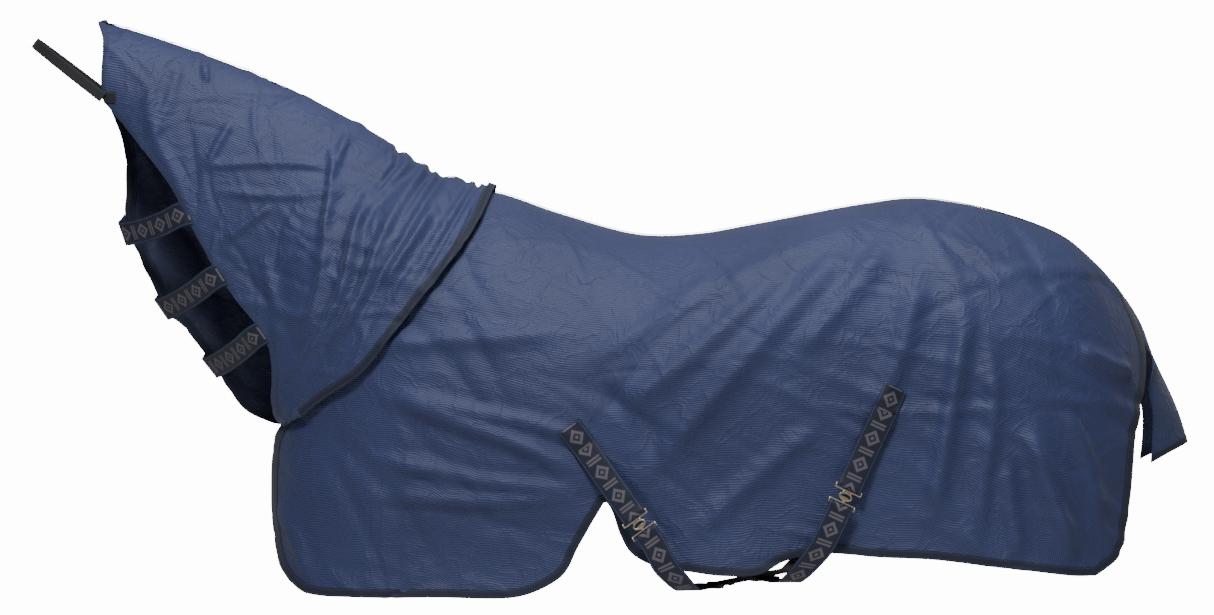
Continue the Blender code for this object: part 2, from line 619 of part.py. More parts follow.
def hook_plate(name, frame, origin=None):
    """Slotted frame with a shank and a T-shaped head."""
    neck, head, top = HOOK_SHANK / 2, HOOK_HEAD / 2, FRAME_HEIGHT + HOOK_REACH
    low = top - HOOK_HEAD_HEIGHT
    half = frame_outline(neck) + [(neck, low), (head - 0.001, low), (head, low + 0.001), (head, top - 0.001),
                                  (head - 0.001, top)]
    return plate(name, [mirrored(half), slot_outline()], frame, origin)


def turned_end(frame, tail=0.022):
    """Middle line of webbing from its stitched tip, round the bar and back up its outer layer."""
    centre, radius = CLIP_BAR / 2, CLIP_BAR / 2 + TURN_GAP + WEBBING / 2
    layer = WEBBING / 2 + 0.0003
    line = [(-tail, -layer), (-tail / 2, -layer), (-0.004, -radius * 0.85)]
    for angle in range(-75, 76, 30):
        line.append((centre + radius * math.cos(math.radians(angle)), radius * math.sin(math.radians(angle))))
    line += [(-0.004, radius * 0.85), (-tail / 2, layer), (-tail * 1.15, layer)]
    return [frame.world(0, away, out) for away, out in line]


# ---- Surcingles and belly straps -----------------------------------------------------------------

def body_point(xz, side, off):
    x, z = np.asarray(xz, float)
    return on_cloth(body_half, np.array(x), np.array(z), side, off)


def outward_at(xz, side):
    return body_point(xz, side, 1.0) - body_point(xz, side, 0.0)


def surcingle_frame(name):
    """The near strap's sewn point and its clip's frame."""
    sewn, lean, _, _ = SURCINGLES[name]
    top = body_xz([sewn])[0]
    low = top + np.array(lean) / np.linalg.norm(lean) * SURCINGLE_LENGTH
    start, end = body_point(top, -1, SEWN_OFFSET), body_point(low, -1, HANG_OFFSET)
    return start, Frame(end, end - start, outward_at(low, -1))


def sewn(name, middles, across, side, finish, origin=None, half=None, width=WEBBING_WIDTH):
    """Webbing that lies flat on a cloth along these middles, both given as seen from the side."""
    across = np.asarray(across, float) / np.linalg.norm(across) * width / 2
    rows = np.stack([middles - across, middles, middles + across], axis=1)
    points = on_cloth(half or body_half, rows[..., 0], rows[..., 1], side, SEWN_OFFSET)
    return sheet(name, points, WEBBING, finish, origin)


def build_surcingle(name):
    """The strap that hangs from the near panel, its ring, and the patch sewn over its top."""
    start, frame = surcingle_frame(name)
    line = turned_end(frame)
    steps = np.linspace(0, 1, 6)[1:, None]
    line += list(line[-1] + steps * (start - line[-1]))
    across = [frame.across] * len(line)
    ribbon(f"surcingle_strap_{name}", line, across, WEBBING_WIDTH, WEBBING_FINISH, origin=start)
    pivot = frame.world(0, CLIP_BAR / 2, 0)
    ring_plate(f"surcingle_ring_{name}", frame, pivot)
    top = body_xz([SURCINGLES[name][0]])[0]
    up = -np.array(SURCINGLES[name][1]) / np.linalg.norm(SURCINGLES[name][1])
    places = top + up * (0.004 + PATCH_LENGTH * np.linspace(0, 1, 4)[:, None])
    sewn(f"surcingle_patch_{name}", places, (up[1], -up[0]), -1, WEBBING_FINISH)


def belly_line(name):
    """Middles and across directions of a belly strap, from its turned end to its anchor, and its anchor.

    It hangs from its clip outside the near hem, runs straight under the belly and climbs outside the
    far hem."""
    near_name, far_name = ("front", "rear") if name == "front" else ("rear", "front")
    hook = surcingle_frame(near_name)[1].facing(CHAIN, -CLIP_PLATE - PLATE_GAP)
    (near_x, far_x), depth = BELLY_RUNS[name]
    near_x, far_x = near_x * BODY_LENGTH / 100, far_x * BODY_LENGTH / 100
    low = depth * BODY_DROP
    width = BODY_WIDTH / 2
    run = np.array([far_x - near_x, 2 * (width - BELLY_INSET), 0.0])
    run /= np.linalg.norm(run)
    level_across = np.array([run[1], -run[0], 0.0])
    anchor_xz = body_xz([SURCINGLES[far_name][3]])[0]
    anchor = body_point(anchor_xz, 1, SEWN_OFFSET)
    line = turned_end(hook)
    hook_across = hook.across
    across = [hook_across] * len(line)
    near_run = np.array([near_x, BELLY_INSET - width, low])
    far_run = np.array([far_x, width - BELLY_INSET, low])
    drop = line[-1]
    for share, out, down in ((0.30, 0.004, 0.45), (0.62, 0.000, 0.75), (0.86, -0.022, 0.95)):
        x = drop[0] + (near_run[0] - drop[0]) * share
        z = drop[2] + (near_run[2] - drop[2]) * down
        line.append(np.array([x, drop[1] - out, z]))
        across.append(hook_across * (1 - share) + level_across * share)
    straight = np.linspace(0, 1, 9)[:, None]
    line += list(near_run + straight * (far_run - near_run))
    across += [level_across] * len(straight)
    side = np.array([1.0, 0.0, 0.0])
    for share, out, up in ((0.16, HANG_OFFSET - 0.012, 0.05), (0.34, HANG_OFFSET, 0.20), (0.55, HANG_OFFSET, 0.45),
                           (0.80, 0.008, 0.75)):
        x = far_run[0] + (anchor[0] - far_run[0]) * share
        z = far_run[2] + (anchor[2] - far_run[2]) * up
        y = max(body_half(x, max(z, anchor_xz[1] - 0.1)), anchor[1] - SEWN_OFFSET) + out
        line.append(np.array([x, y, z]))
        across.append(level_across * (1 - share) + side * share)
    line.append(anchor)
    slope = body_point(anchor_xz + (0.01, 0), 1, 0.0) - body_point(anchor_xz - (0.01, 0), 1, 0.0)
    across.append(slope / np.linalg.norm(slope))
    return hook, line, across, anchor, (near_run, run, level_across)


def sleeve(name, middle, along, across, length, wall, finish, origin):
    """A flat loop round the strap: a metal slider or a webbing keeper."""
    up = np.cross(along, across)
    frame = Frame(middle, up * np.sign(up[2]), along)
    half, high = WEBBING_WIDTH / 2 + SLIDER_GAP, WEBBING / 2 + SLIDER_GAP
    outer = rounded(half + wall, -high - wall, high + wall, wall * 0.6)
    hole = rounded(half, -high, high, high * 0.4, 1)
    return plate(name, [outer, hole], frame, origin, length, finish)


def build_belly_strap(name):
    hook, line, across, anchor, (start, run, level) = belly_line(name)
    ribbon(f"belly_strap_{name}", line, across, WEBBING_WIDTH, WEBBING_FINISH, origin=anchor)
    hook_plate(f"belly_hook_{name}", hook, anchor)
    sleeve(f"belly_slider_{name}", start + run * SLIDER_PLACE, run, level, SLIDER_LENGTH, SLIDER_WIRE,
           BRASS_FINISH, start + run * SLIDER_PLACE)
    sleeve(f"belly_keeper_{name}", start + run * KEEPER_PLACE, run, level, KEEPER_LENGTH, TAPE_THICKNESS,
           WEBBING_FINISH, anchor)
    far_name = "rear" if name == "front" else "front"
    low, high = body_xz([SURCINGLES[far_name][3], SURCINGLES[far_name][2]])
    places = low + np.linspace(ANCHOR_GAP / (high[1] - low[1]), 1, 6)[:, None] * (high - low)
    sewn(f"belly_anchor_{name}", places, (1, 0), 1, WEBBING_FINISH)


# ---- Chest, neck and brow straps -----------------------------------------------------------------

def build_chest_strap(level):
    """A strap sewn inside the right front edge, hooked to a ring inside the left front edge."""
    height = CHEST_STRAPS[level] * BODY_DROP / 100
    front = smooth_curve(body_xz(FRONT))
    edge = np.interp(-height, -front[:, 1], front[:, 0])
    frame = Frame((edge - CHEST_STAND_OFF, -CHAIN + CHEST_HOOK_PAST, height), (0, 1, 0), (-1, 0, 0))
    up = (0, 0, 1)

    def cloth(step, side, inside=CHEST_INSIDE):
        return body_point((edge + step, height), side, -inside)

    steps = np.array([0.004, 0.012, 0.022, 0.036, 0.052])
    tab = turned_end(frame, 0.012)[:-1] + [frame.world(0, -0.014, -0.001)] + [cloth(s, -1) for s in steps]
    ribbon(f"chest_tab_{level}", tab, [up] * len(tab), WEBBING_WIDTH, WEBBING_FINISH)
    ring_plate(f"chest_ring_{level}", frame)
    hook = frame.facing(CHAIN, CLIP_PLATE + PLATE_GAP)
    hinge = body_point((edge, height), 1, 0.0) - np.array([0.0, CHEST_HINGE, 0.0])
    strap = turned_end(hook, 0.016) + [hinge]
    ribbon(f"chest_strap_{level}", strap, [up] * len(strap), WEBBING_WIDTH, WEBBING_FINISH, origin=hinge)
    hook_plate(f"chest_hook_{level}", hook, hinge)
    base = [hinge + (0.0018, 0.0014, 0.0)] + [cloth(s, 1) for s in steps[1:] + 0.002]
    ribbon(f"chest_base_{level}", base, [up] * len(base), WEBBING_WIDTH, WEBBING_FINISH)


def cover_point(xz, side, off):
    x, z = np.asarray(xz, float)
    return on_cloth(cover_half, np.array(x), np.array(z), side, off)


def build_neck_strap(level):
    """A strap sewn at the near throat edge, held by hook and loop on the far edge's outer side."""
    near, far = cover_xz(NECK_STRAPS[level][:2])
    lean = np.array(NECK_STRAPS[level][2]) / np.linalg.norm(NECK_STRAPS[level][2]) * WEBBING_WIDTH / 2
    ahead = (far - near) / np.linalg.norm(far - near)

    def pair(middle, side, off):
        return np.stack([cover_point(middle + share * lean, side, off) for share in (-1, 0, 1)])

    first, edge = pair(near - 0.008 * ahead, -1, SEWN_OFFSET), pair(near + 0.012 * ahead, -1, SEWN_OFFSET)
    wrap_off = BINDING_THICKNESS / 2 + PAD + WEBBING / 2 + 2 * BINDING_GAP
    turn = pair(far + 0.008 * BELOW, 1, wrap_off)
    bow = np.array([BELOW[0], 0.0, BELOW[1]]) * NECK_STRAP_BOW
    rows = [first, edge]
    for share in (0.25, 0.5, 0.75):
        rows.append(edge + share * (turn - edge) + 4 * share * (1 - share) * bow)
    rows += [turn] + [pair(far - step * BELOW, 1, wrap_off) for step in (0.0, 0.005, 0.010)]
    origin = (first[0] + first[-1]) / 2
    sheet(f"neck_strap_{level}", np.stack(rows), WEBBING, WEBBING_FINISH, origin)
    pad_off = BINDING_THICKNESS / 2 + BINDING_GAP + PAD / 2
    pads = [pair(far - step * BELOW, 1, pad_off) for step in (0.0, 0.005, 0.010)]
    sheet(f"neck_loop_pad_{level}", np.stack(pads), PAD, PAD_FINISH, neck_pivot())


def build_brow_strap():
    """The webbing loop ahead of the poll, and the tabs that hold its ends."""
    tab = cover_xz([BROW_TAB])[0]
    for side, hand in ((-1, "left"), (1, "right")):
        places = tab + np.linspace((0.002, 0), (BROW_TAB_LENGTH, 0), 4)
        sewn(f"brow_tab_{hand}", places, (0, 1), side, BLACK_FINISH, neck_pivot(), cover_half, BROW_WEBBING_WIDTH)
    half = abs(cover_point(tab, 1, SEWN_OFFSET)[1]) + WEBBING + 4 * BINDING_GAP
    ahead = np.array([-0.79, 0.0, 0.613])
    across = np.array([0.613, 0.0, 0.79])
    angles = np.radians(np.linspace(0, 180, 19))
    pivot = np.array([tab[0], 0.0, tab[1]])
    loop = [pivot + ahead * BROW_REACH * math.sin(a) + np.array([0, -half * math.cos(a), 0]) for a in angles]
    ribbon("brow_strap", loop, [across] * len(loop), BROW_WEBBING_WIDTH, BLACK_FINISH, origin=pivot)


def main():
    clear_scene()
    bpy.context.scene.collection.children.link(bpy.data.collections.new("horse_rug"))
    build_body()
    build_yoke()
    build_neck()
    build_tail()
    for name in SURCINGLES:
        build_surcingle(name)
        build_belly_strap(name)
    for level in CHEST_STRAPS:
        build_chest_strap(level)
    for level in NECK_STRAPS:
        build_neck_strap(level)
    build_brow_strap()


main()
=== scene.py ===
"""Full-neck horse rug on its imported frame: cloth, bindings, webbing, clips, light and camera.

The frame's +X runs from head to tail, +Z is up, and the near (left) side of the horse is at -Y.
The origin is at the withers. All sizes are in metres.
"""

import logging
import math
from collections.abc import Callable, Sequence
from dataclasses import dataclass, field
from enum import Enum

import bmesh
import bpy
import numpy as np
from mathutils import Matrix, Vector


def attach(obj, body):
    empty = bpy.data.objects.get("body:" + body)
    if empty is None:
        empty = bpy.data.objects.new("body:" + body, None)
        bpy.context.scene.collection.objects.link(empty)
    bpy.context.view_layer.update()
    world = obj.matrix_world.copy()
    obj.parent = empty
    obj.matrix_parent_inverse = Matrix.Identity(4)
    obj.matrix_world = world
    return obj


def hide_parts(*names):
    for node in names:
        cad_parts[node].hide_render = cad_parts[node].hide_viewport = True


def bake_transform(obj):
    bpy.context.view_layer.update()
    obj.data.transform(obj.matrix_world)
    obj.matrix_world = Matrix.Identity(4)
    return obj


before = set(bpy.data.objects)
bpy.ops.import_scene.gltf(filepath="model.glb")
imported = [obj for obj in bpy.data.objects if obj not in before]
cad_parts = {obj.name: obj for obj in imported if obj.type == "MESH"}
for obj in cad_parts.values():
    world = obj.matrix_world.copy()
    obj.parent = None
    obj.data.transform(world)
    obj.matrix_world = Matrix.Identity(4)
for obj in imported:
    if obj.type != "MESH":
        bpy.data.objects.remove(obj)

log = logging.getLogger("horse_rug")
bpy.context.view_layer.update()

Array = np.ndarray
Half = Callable[..., Array]
Curve = Callable[[Array], Array]
Point = tuple[float, float]
Point3 = tuple[float, float, float]


class Side(Enum):
    """Side of the horse, by the sign of Y."""

    NEAR = -1
    FAR = 1

    @property
    def hand(self) -> str:
        """The word used in the frame's node names."""
        return "left" if self is Side.NEAR else "right"

    @property
    def word(self) -> str:
        """The word used in the names of the visible pieces."""
        return self.name.lower()


# ---- Curves ----------------------------------------------------------------------------------------


def smooth_curve(points: Sequence[Point] | Array, per_span: int = 24) -> Array:
    """A centripetal curve through points.

    Args:
        points: places the curve passes through.
        per_span: samples between two places.

    Returns:
        The curve's samples, one a row.
    """
    pts = np.asarray(points, float)
    pts = np.vstack([2 * pts[0] - pts[1], pts, 2 * pts[-1] - pts[-2]])
    out = []
    for p0, p1, p2, p3 in zip(pts, pts[1:], pts[2:], pts[3:]):
        t1 = math.sqrt(np.linalg.norm(p1 - p0))
        t2 = t1 + math.sqrt(np.linalg.norm(p2 - p1))
        t3 = t2 + math.sqrt(np.linalg.norm(p3 - p2))
        t = np.linspace(t1, t2, per_span, endpoint=False)[:, None]
        a1 = (t1 - t) / t1 * p0 + t / t1 * p1
        a2 = (t2 - t) / (t2 - t1) * p1 + (t - t1) / (t2 - t1) * p2
        a3 = (t3 - t) / (t3 - t2) * p2 + (t - t2) / (t3 - t2) * p3
        b1 = (t2 - t) / t2 * a1 + t / t2 * a2
        b2 = (t3 - t) / (t3 - t1) * a2 + (t - t1) / (t3 - t1) * a3
        out.append((t2 - t) / (t2 - t1) * b1 + (t - t1) / (t2 - t1) * b2)
    out.append(pts[-2][None, :])
    return np.vstack(out)


def reach(curve: Array) -> Array:
    """Distance along the curve at each of its samples."""
    return np.concatenate([[0.0], np.cumsum(np.linalg.norm(np.diff(curve, axis=0), axis=1))])


def share_of(curve: Array) -> Array:
    """Share of the curve's length at each of its samples, from 0 to 1."""
    return reach(curve) / reach(curve)[-1]


def at(curve: Array, distances: Array) -> Array:
    """Points of the curve at these distances along it."""
    far = reach(curve)
    return np.stack([np.interp(distances, far, curve[:, i]) for i in range(curve.shape[1])], axis=1)


def spread(curve: Array, count: int, crowd: float = 1.0) -> Array:
    """Points at even steps along the curve.

    Args:
        curve: samples of the curve.
        count: how many points.
        crowd: over 1, the points stand closer together at the curve's start.

    Returns:
        The points, one a row.
    """
    return at(curve, reach(curve)[-1] * np.linspace(0, 1, count) ** crowd)


def inset(points: Array, distance: float) -> Array:
    """The points of an outline moved to its left side, seen along it, by the distance."""
    ahead = np.gradient(points, axis=0)
    ahead /= np.linalg.norm(ahead, axis=1)[:, None]
    return points + distance * np.stack([-ahead[:, 1], ahead[:, 0]], axis=1)


def table(pairs: Sequence[Point], x_scale: float, y_scale: float = 1.0) -> Curve:
    """A smooth function through scaled pairs, level beyond its ends."""
    curve = smooth_curve(np.asarray(pairs, float) * (x_scale, y_scale))
    return lambda x: np.interp(x, curve[:, 0], curve[:, 1])


def patch(top: Array, bottom: Array, left: Array, right: Array, columns: Array | None = None,
          rows: Array | None = None) -> Array:
    """Coons patch of four outlines; left and right run down from the top.

    Args:
        top: samples of the upper edge, left to right.
        bottom: as many samples of the lower edge.
        left: samples of the left edge, top to bottom.
        right: as many samples of the right edge.
        columns: where each column lies, from 0 to 1, or None to follow the lower edge.
        rows: where each row lies, from 0 to 1, or None to follow the right edge.

    Returns:
        A grid of points, columns by rows by coordinates.
    """
    columns = share_of(bottom) if columns is None else columns
    rows = share_of(right) if rows is None else rows
    u, v = columns[:, None, None], rows[None, :, None]
    across = (1 - v) * top[:, None, :] + v * bottom[:, None, :]
    down = (1 - u) * left[None, :, :] + u * right[None, :, :]
    corners = ((1 - u) * (1 - v) * top[0] + u * (1 - v) * top[-1]
               + (1 - u) * v * bottom[0] + u * v * bottom[-1])
    return across + down - corners


def ease(value: Array) -> Array:
    """Turns 0 to 1 into a smooth rise."""
    held = np.clip(value, 0.0, 1.0)
    return held * held * (3 - 2 * held)


# ---- Folds and creases of the cloth ------------------------------------------------------------------


@dataclass(frozen=True)
class Fold:
    """One fold of a cloth, along a path seen from the side.

    path: places the fold runs through. height: how far its crest stands out, below 0 for a furrow.
    width: how far from the crest it reaches. lean: above 0, a furrow runs along its right side.
    """

    path: tuple[Point, ...]
    height: float
    width: float
    lean: float = 0.0

    def rise(self, x: Array, z: Array) -> Array:
        """How far the fold lifts the cloth at these places."""
        line = smooth_curve(self.path, 5) if len(self.path) > 2 else np.asarray(self.path, float)
        total = reach(line)
        best, signed, way = np.full(x.shape, 9.0), np.zeros(x.shape), np.zeros(x.shape)
        for k, (a, b) in enumerate(zip(line, line[1:])):
            step = b - a
            share = np.clip(((x - a[0]) * step[0] + (z - a[1]) * step[1]) / (step @ step), 0, 1)
            dx, dz = x - a[0] - share * step[0], z - a[1] - share * step[1]
            gap = np.hypot(dx, dz)
            near = gap < best
            best = np.where(near, gap, best)
            signed = np.where(near, np.sign(step[0] * dz - step[1] * dx), signed)
            way = np.where(near, (total[k] + share * (total[k + 1] - total[k])) / total[-1], way)
        q = best / self.width
        ends = ease(way / 0.25) * ease((1 - way) / 0.25)
        return self.height * ends * np.exp(-q * q) * (1 + self.lean * signed * q)


@dataclass(frozen=True)
class Creases:
    """Many short random creases, as cloth has after it was packed.

    count: how many. length, width and height: their middle sizes. slope: main heading in radians.
    turn: how far a heading strays from it. seed: number that fixes their places. low, high: corners of the
    area that holds their middles.
    """

    count: int
    length: float
    width: float
    height: float
    slope: float
    turn: float
    seed: int
    low: Point = (-0.45, -0.80)
    high: Point = (1.30, 0.0)

    def rise(self, x: Array, z: Array) -> Array:
        """How far all the creases lift the cloth at these places."""
        rng = np.random.default_rng(self.seed)
        out = np.zeros(x.shape)
        for _ in range(self.count):
            cx, cz = rng.uniform(self.low[0], self.high[0]), rng.uniform(self.low[1], self.high[1])
            heading = self.slope + self.turn * rng.uniform(-1, 1)
            size = rng.uniform(0.5, 1.5)
            along = (x - cx) * math.cos(heading) + (z - cz) * math.sin(heading)
            across = (z - cz) * math.cos(heading) - (x - cx) * math.sin(heading)
            q = across / (self.width * size) + 1.2 * (along / self.length) ** 2
            p = along / (self.length * size)
            crest = rng.choice((-1.0, 1.0)) * self.height * size
            out += crest * np.exp(-q * q - p * p) * (1 - 0.7 * q)
        return out


@dataclass(frozen=True)
class Swell:
    """A broad rise or hollow of the cloth, such as over a shoulder or a stifle."""

    middle: Point
    reach_x: float
    reach_z: float
    height: float

    def rise(self, x: Array, z: Array) -> Array:
        """How far the swell lifts the cloth at these places."""
        qx, qz = (x - self.middle[0]) / self.reach_x, (z - self.middle[1]) / self.reach_z
        return self.height * np.exp(-qx * qx - qz * qz)


Rise = Callable[[Array, Array], Array]


def lay(*parts: Fold | Creases | Swell, gain: float = 1.0, fade: float = 0.0,
        line: Curve | None = None) -> Rise:
    """One function for the folds of a cloth.

    Args:
        parts: folds, creases and swells.
        gain: how much stronger they stand out than their own sizes.
        fade: depth below the line over which they grow from nothing.
        line: height of the cloth's top edge at x.

    Returns:
        A function of x and z that gives the lift.
    """

    def lift(x: Array, z: Array) -> Array:
        """The summed lift, faded in below the line."""
        total = gain * sum((part.rise(x, z) for part in parts), np.zeros(np.shape(x)))
        return total * ease((line(x) - z) / fade) if fade and line else total

    return lift


# ---- The form that the cloth hangs on ------------------------------------------------------------------


@dataclass(frozen=True)
class RugForm:
    """Outlines and widths of the worn rug.

    Outlines are in hundredths: X of body_length and Z of body_drop for the body; X of neck_reach and
    Z of neck_rise above the withers, or of body_drop below them, for the neck cover.
    """

    body_length: float = 1.76
    body_drop: float = 0.81
    body_width: float = 0.66
    neck_reach: float = 0.81
    neck_rise: float = 0.35
    neck_width: float = 0.26
    spine_gap: float = 0.002
    cover_lift: float = 0.010
    spine: tuple[Point, ...] = (
        (-3.4, 0.3), (0, 0), (7.6, -5.4), (16.7, -10.6), (23.5, -10.4), (30.3, -7.9), (43.0, -2.8),
        (49.0, -1.5), (57.7, -4.7), (65.7, -11.1), (69.1, -17.0), (71.6, -22.7))
    front: tuple[Point, ...] = (
        (-3.4, 0.3), (-12.5, -24.7), (-21.9, -51.9), (-25.0, -61.2), (-25.7, -75.6), (-25.5, -85.2),
        (-24.8, -92.3), (-23.4, -96.5))
    rear: tuple[Point, ...] = (
        (71.6, -22.7), (73.2, -29.6), (74.4, -38.5), (74.3, -45.4), (73.2, -55.6), (72.5, -62.5),
        (71.8, -77.5), (70.3, -89.9), (67.6, -94.2))
    hem: tuple[Point, ...] = (
        (-23.4, -96.5), (-21.3, -99.2), (-14.9, -99.8), (-6.7, -99.5), (2.4, -99.3), (5.2, -97.5),
        (8.0, -93.6), (9.6, -87.0), (11.9, -78.4), (12.7, -75.9), (13.5, -78.4), (14.3, -83.5),
        (15.6, -88.4), (18.4, -91.6), (22.2, -92.8), (25.9, -93.8), (30.0, -93.4), (33.0, -90.1),
        (37.3, -88.4), (43.6, -89.4), (49.3, -89.9), (55.9, -91.6), (61.6, -93.1), (65.0, -94.0),
        (67.6, -94.2))
    body_widths: tuple[Point, ...] = (
        (-27.9, 0), (-26.6, 5), (-25.7, 17), (-24.6, 30), (-22.5, 47), (-17, 66), (-11, 78), (0, 87),
        (11, 94), (23, 100), (34, 97), (45, 92), (54, 92), (62, 88), (68, 75), (72, 58), (74.4, 44), (77, 36))
    shoulder_depths: tuple[Point, ...] = ((-30, 0.40), (0, 0.42), (23, 0.31), (45, 0.27), (60, 0.28), (75, 0.30))
    top_ends: tuple[tuple[Point, ...], tuple[Point, ...]] = (
        ((-36, 9.0), (-12, 3.0)), ((73.2, -27.0), (74.8, -33.0), (77, -46.0)))
    crest: tuple[Point, ...] = (
        (0, 3.4), (-8.0, 5.2), (-17.0, 13.1), (-28.4, 30.3), (-47.7, 54.3), (-59.3, 67.1), (-69.4, 76.9),
        (-87.2, 91.4), (-100, 100))
    cover_rear: tuple[Point, ...] = (
        (0, 3.4), (-3.5, -8.1), (-11.1, -19.5), (-21.0, -32.1), (-31.6, -45.2), (-41.0, -51.4), (-46.3, -55.7))
    seam: tuple[Point, ...] = (
        (-28.0, 29.6), (-28.9, -1.5), (-30.4, -9.6), (-33.3, -21.7), (-36.5, -31.6), (-44.0, -47.0), (-51.5, -58.3))
    near_front: tuple[Point, ...] = ((-100, 100), (-98.0, 87), (-98.0, 63), (-97.4, 52))
    near_throat: tuple[Point, ...] = (
        (-97.4, 52), (-88.4, 27), (-79.3, -0.2), (-75.3, -8.4), (-66.4, -23.5), (-56.0, -37.5),
        (-54.6, -45.5), (-55.0, -51.8), (-54.0, -56.6), (-51.5, -58.3))
    far_front: tuple[Point, ...] = ((-100, 100), (-98.6, 87), (-99.4, 63), (-98.8, 52))
    far_throat: tuple[Point, ...] = (
        (-98.8, 52), (-94.6, 26), (-93.8, 0.0), (-94.0, -5.4), (-88.1, -20.5), (-83.2, -30.4),
        (-78.8, -34.1), (-70.1, -45.9), (-64.4, -54.6), (-58.0, -58.0), (-54.5, -58.9), (-51.5, -58.3))
    neck_widths: tuple[Point, ...] = ((0, 150), (23, 130), (45, 100), (68, 82), (98, 58))
    neck_wraps: tuple[Point, ...] = ((0, 90), (23, 93), (45, 95), (78, 95), (90, 74), (100, 62))
    rounding: int = 6
    ahead: Array = field(init=False, compare=False)
    below: Array = field(init=False, compare=False)
    crest_depth: Curve = field(init=False, compare=False)
    throat_depth: Curve = field(init=False, compare=False)
    body_spread: Curve = field(init=False, compare=False)
    shoulder: Curve = field(init=False, compare=False)
    top: Curve = field(init=False, compare=False)
    neck_spread: Curve = field(init=False, compare=False)
    neck_wrap: Curve = field(init=False, compare=False)

    def body_xz(self, points: Sequence[Point] | Array) -> Array:
        """Places on the body in metres."""
        return np.asarray(points, float) * (self.body_length / 100, self.body_drop / 100)

    def cover_xz(self, points: Sequence[Point] | Array) -> Array:
        """Places on the neck cover in metres."""
        pts = np.asarray(points, float)
        height = np.where(pts[:, 1] > 0, self.neck_rise, self.body_drop) / 100
        return np.stack([pts[:, 0] * self.neck_reach / 100, pts[:, 1] * height], axis=1)

    def __post_init__(self) -> None:
        """Works out the neck's two directions and the smooth tables once."""
        length, drop = self.body_length / 100, self.body_drop / 100
        crest_length = math.hypot(self.neck_reach, self.neck_rise)
        ahead = np.array([-self.neck_reach, self.neck_rise]) / crest_length
        below = np.array([-self.neck_rise, -self.neck_reach]) / crest_length

        def depth(points: tuple[Point, ...]) -> Curve:
            """Depth of an outline below the neck's axis, by the distance along that axis."""
            curve = smooth_curve(self.cover_xz(points))
            order = np.argsort(curve @ ahead)
            return lambda a: np.interp(a, (curve @ ahead)[order], (curve @ below)[order])

        made = {
            "ahead": ahead,
            "below": below,
            "crest_depth": depth(self.crest),
            "throat_depth": depth(self.far_throat),
            "body_spread": table(self.body_widths, length, self.body_width / 200),
            "shoulder": table(self.shoulder_depths, length),
            "top": table(self.top_ends[0] + self.spine + self.top_ends[1], length, drop),
            "neck_spread": table(self.neck_widths, crest_length / 100, self.neck_width / 200),
            "neck_wrap": table(self.neck_wraps, crest_length / 100, 0.01),
        }
        for name, value in made.items():
            object.__setattr__(self, name, value)

    def body_half(self, x: Array, z: Array, lift: float = 0.0) -> Array:
        """Distance from the middle plane to the middle of the body cloth."""
        down = np.clip((self.top(x) + lift - z) / self.shoulder(x), 0.0, 1.0)
        return (self.body_spread(x) + lift) * np.sqrt(down * (2.0 - down)) + self.spine_gap

    def cover_half(self, x: Array, z: Array) -> Array:
        """Distance from the middle plane to the middle of the neck cover's cloth."""
        along = x * self.ahead[0] + z * self.ahead[1]
        below = x * self.below[0] + z * self.below[1]
        deep = (self.throat_depth(along) - self.crest_depth(along)) / self.neck_wrap(along)
        share = np.clip((below - self.crest_depth(along)) / deep, 0.0, 1.0)
        neck = self.neck_spread(along) * np.sqrt(4.0 * share * (1.0 - share))
        body = self.body_half(x, z, self.cover_lift) - self.spine_gap
        mixed = (neck ** self.rounding + body ** self.rounding) ** (1.0 / self.rounding)
        return mixed + self.spine_gap

    def on(self, half: Half, x: Array, z: Array, side: Side, off: Array | float = 0.0) -> Array:
        """Points of a cloth, moved off it along its outward normal.

        Args:
            half: body_half or cover_half.
            x, z: the places seen from the side.
            side: which side of the horse.
            off: distance off the middle of the cloth.

        Returns:
            Points, with coordinates in the last axis.
        """
        h = 0.004
        gx = (half(x + h, z) - half(x - h, z)) / (2 * h)
        gz = (half(x, z + h) - half(x, z - h)) / (2 * h)
        normal = np.stack([-gx, np.ones_like(gx), -gz], axis=-1)
        normal /= np.linalg.norm(normal, axis=-1)[..., None]
        point = np.stack([x, half(x, z), z], axis=-1) + np.asarray(off)[..., None] * normal
        point[..., 1] *= side.value
        return point


    def spot(self, half: Half, xz: Array | Point, side: Side, off: float = 0.0) -> Array:
        """One point of a cloth, moved off it along its outward normal."""
        x, z = np.asarray(xz, float)
        return self.on(half, np.array(x), np.array(z), side, off)


FORM = RugForm()
CLOTH = 0.0014
BINDING_WIDTH = 0.016
EDGE_ROUND = 0.0007
WEBBING_ROUND = 0.0006


# ---- Making meshes -------------------------------------------------------------------------------------


def knit_uv(points: Array) -> Array:
    """Distance along and down a grid of points, in metres, for a pattern that follows the cloth."""
    down = np.linalg.norm(np.diff(points, axis=1), axis=2).cumsum(axis=1)
    down = np.concatenate([np.zeros((len(points), 1)), down], axis=1)
    along = np.linalg.norm(np.diff(points, axis=0), axis=2).mean(axis=1).cumsum()
    along = np.concatenate([[0.0], along])
    return np.stack([np.broadcast_to(along[:, None], down.shape), down], axis=-1)


def strip_uv(across: Array, along: Array) -> Array:
    """Pattern coordinates of a strip: distances across it for its rows, and along it for its columns."""
    return np.stack(np.broadcast_arrays(across[None, :], along[:, None]), axis=-1)


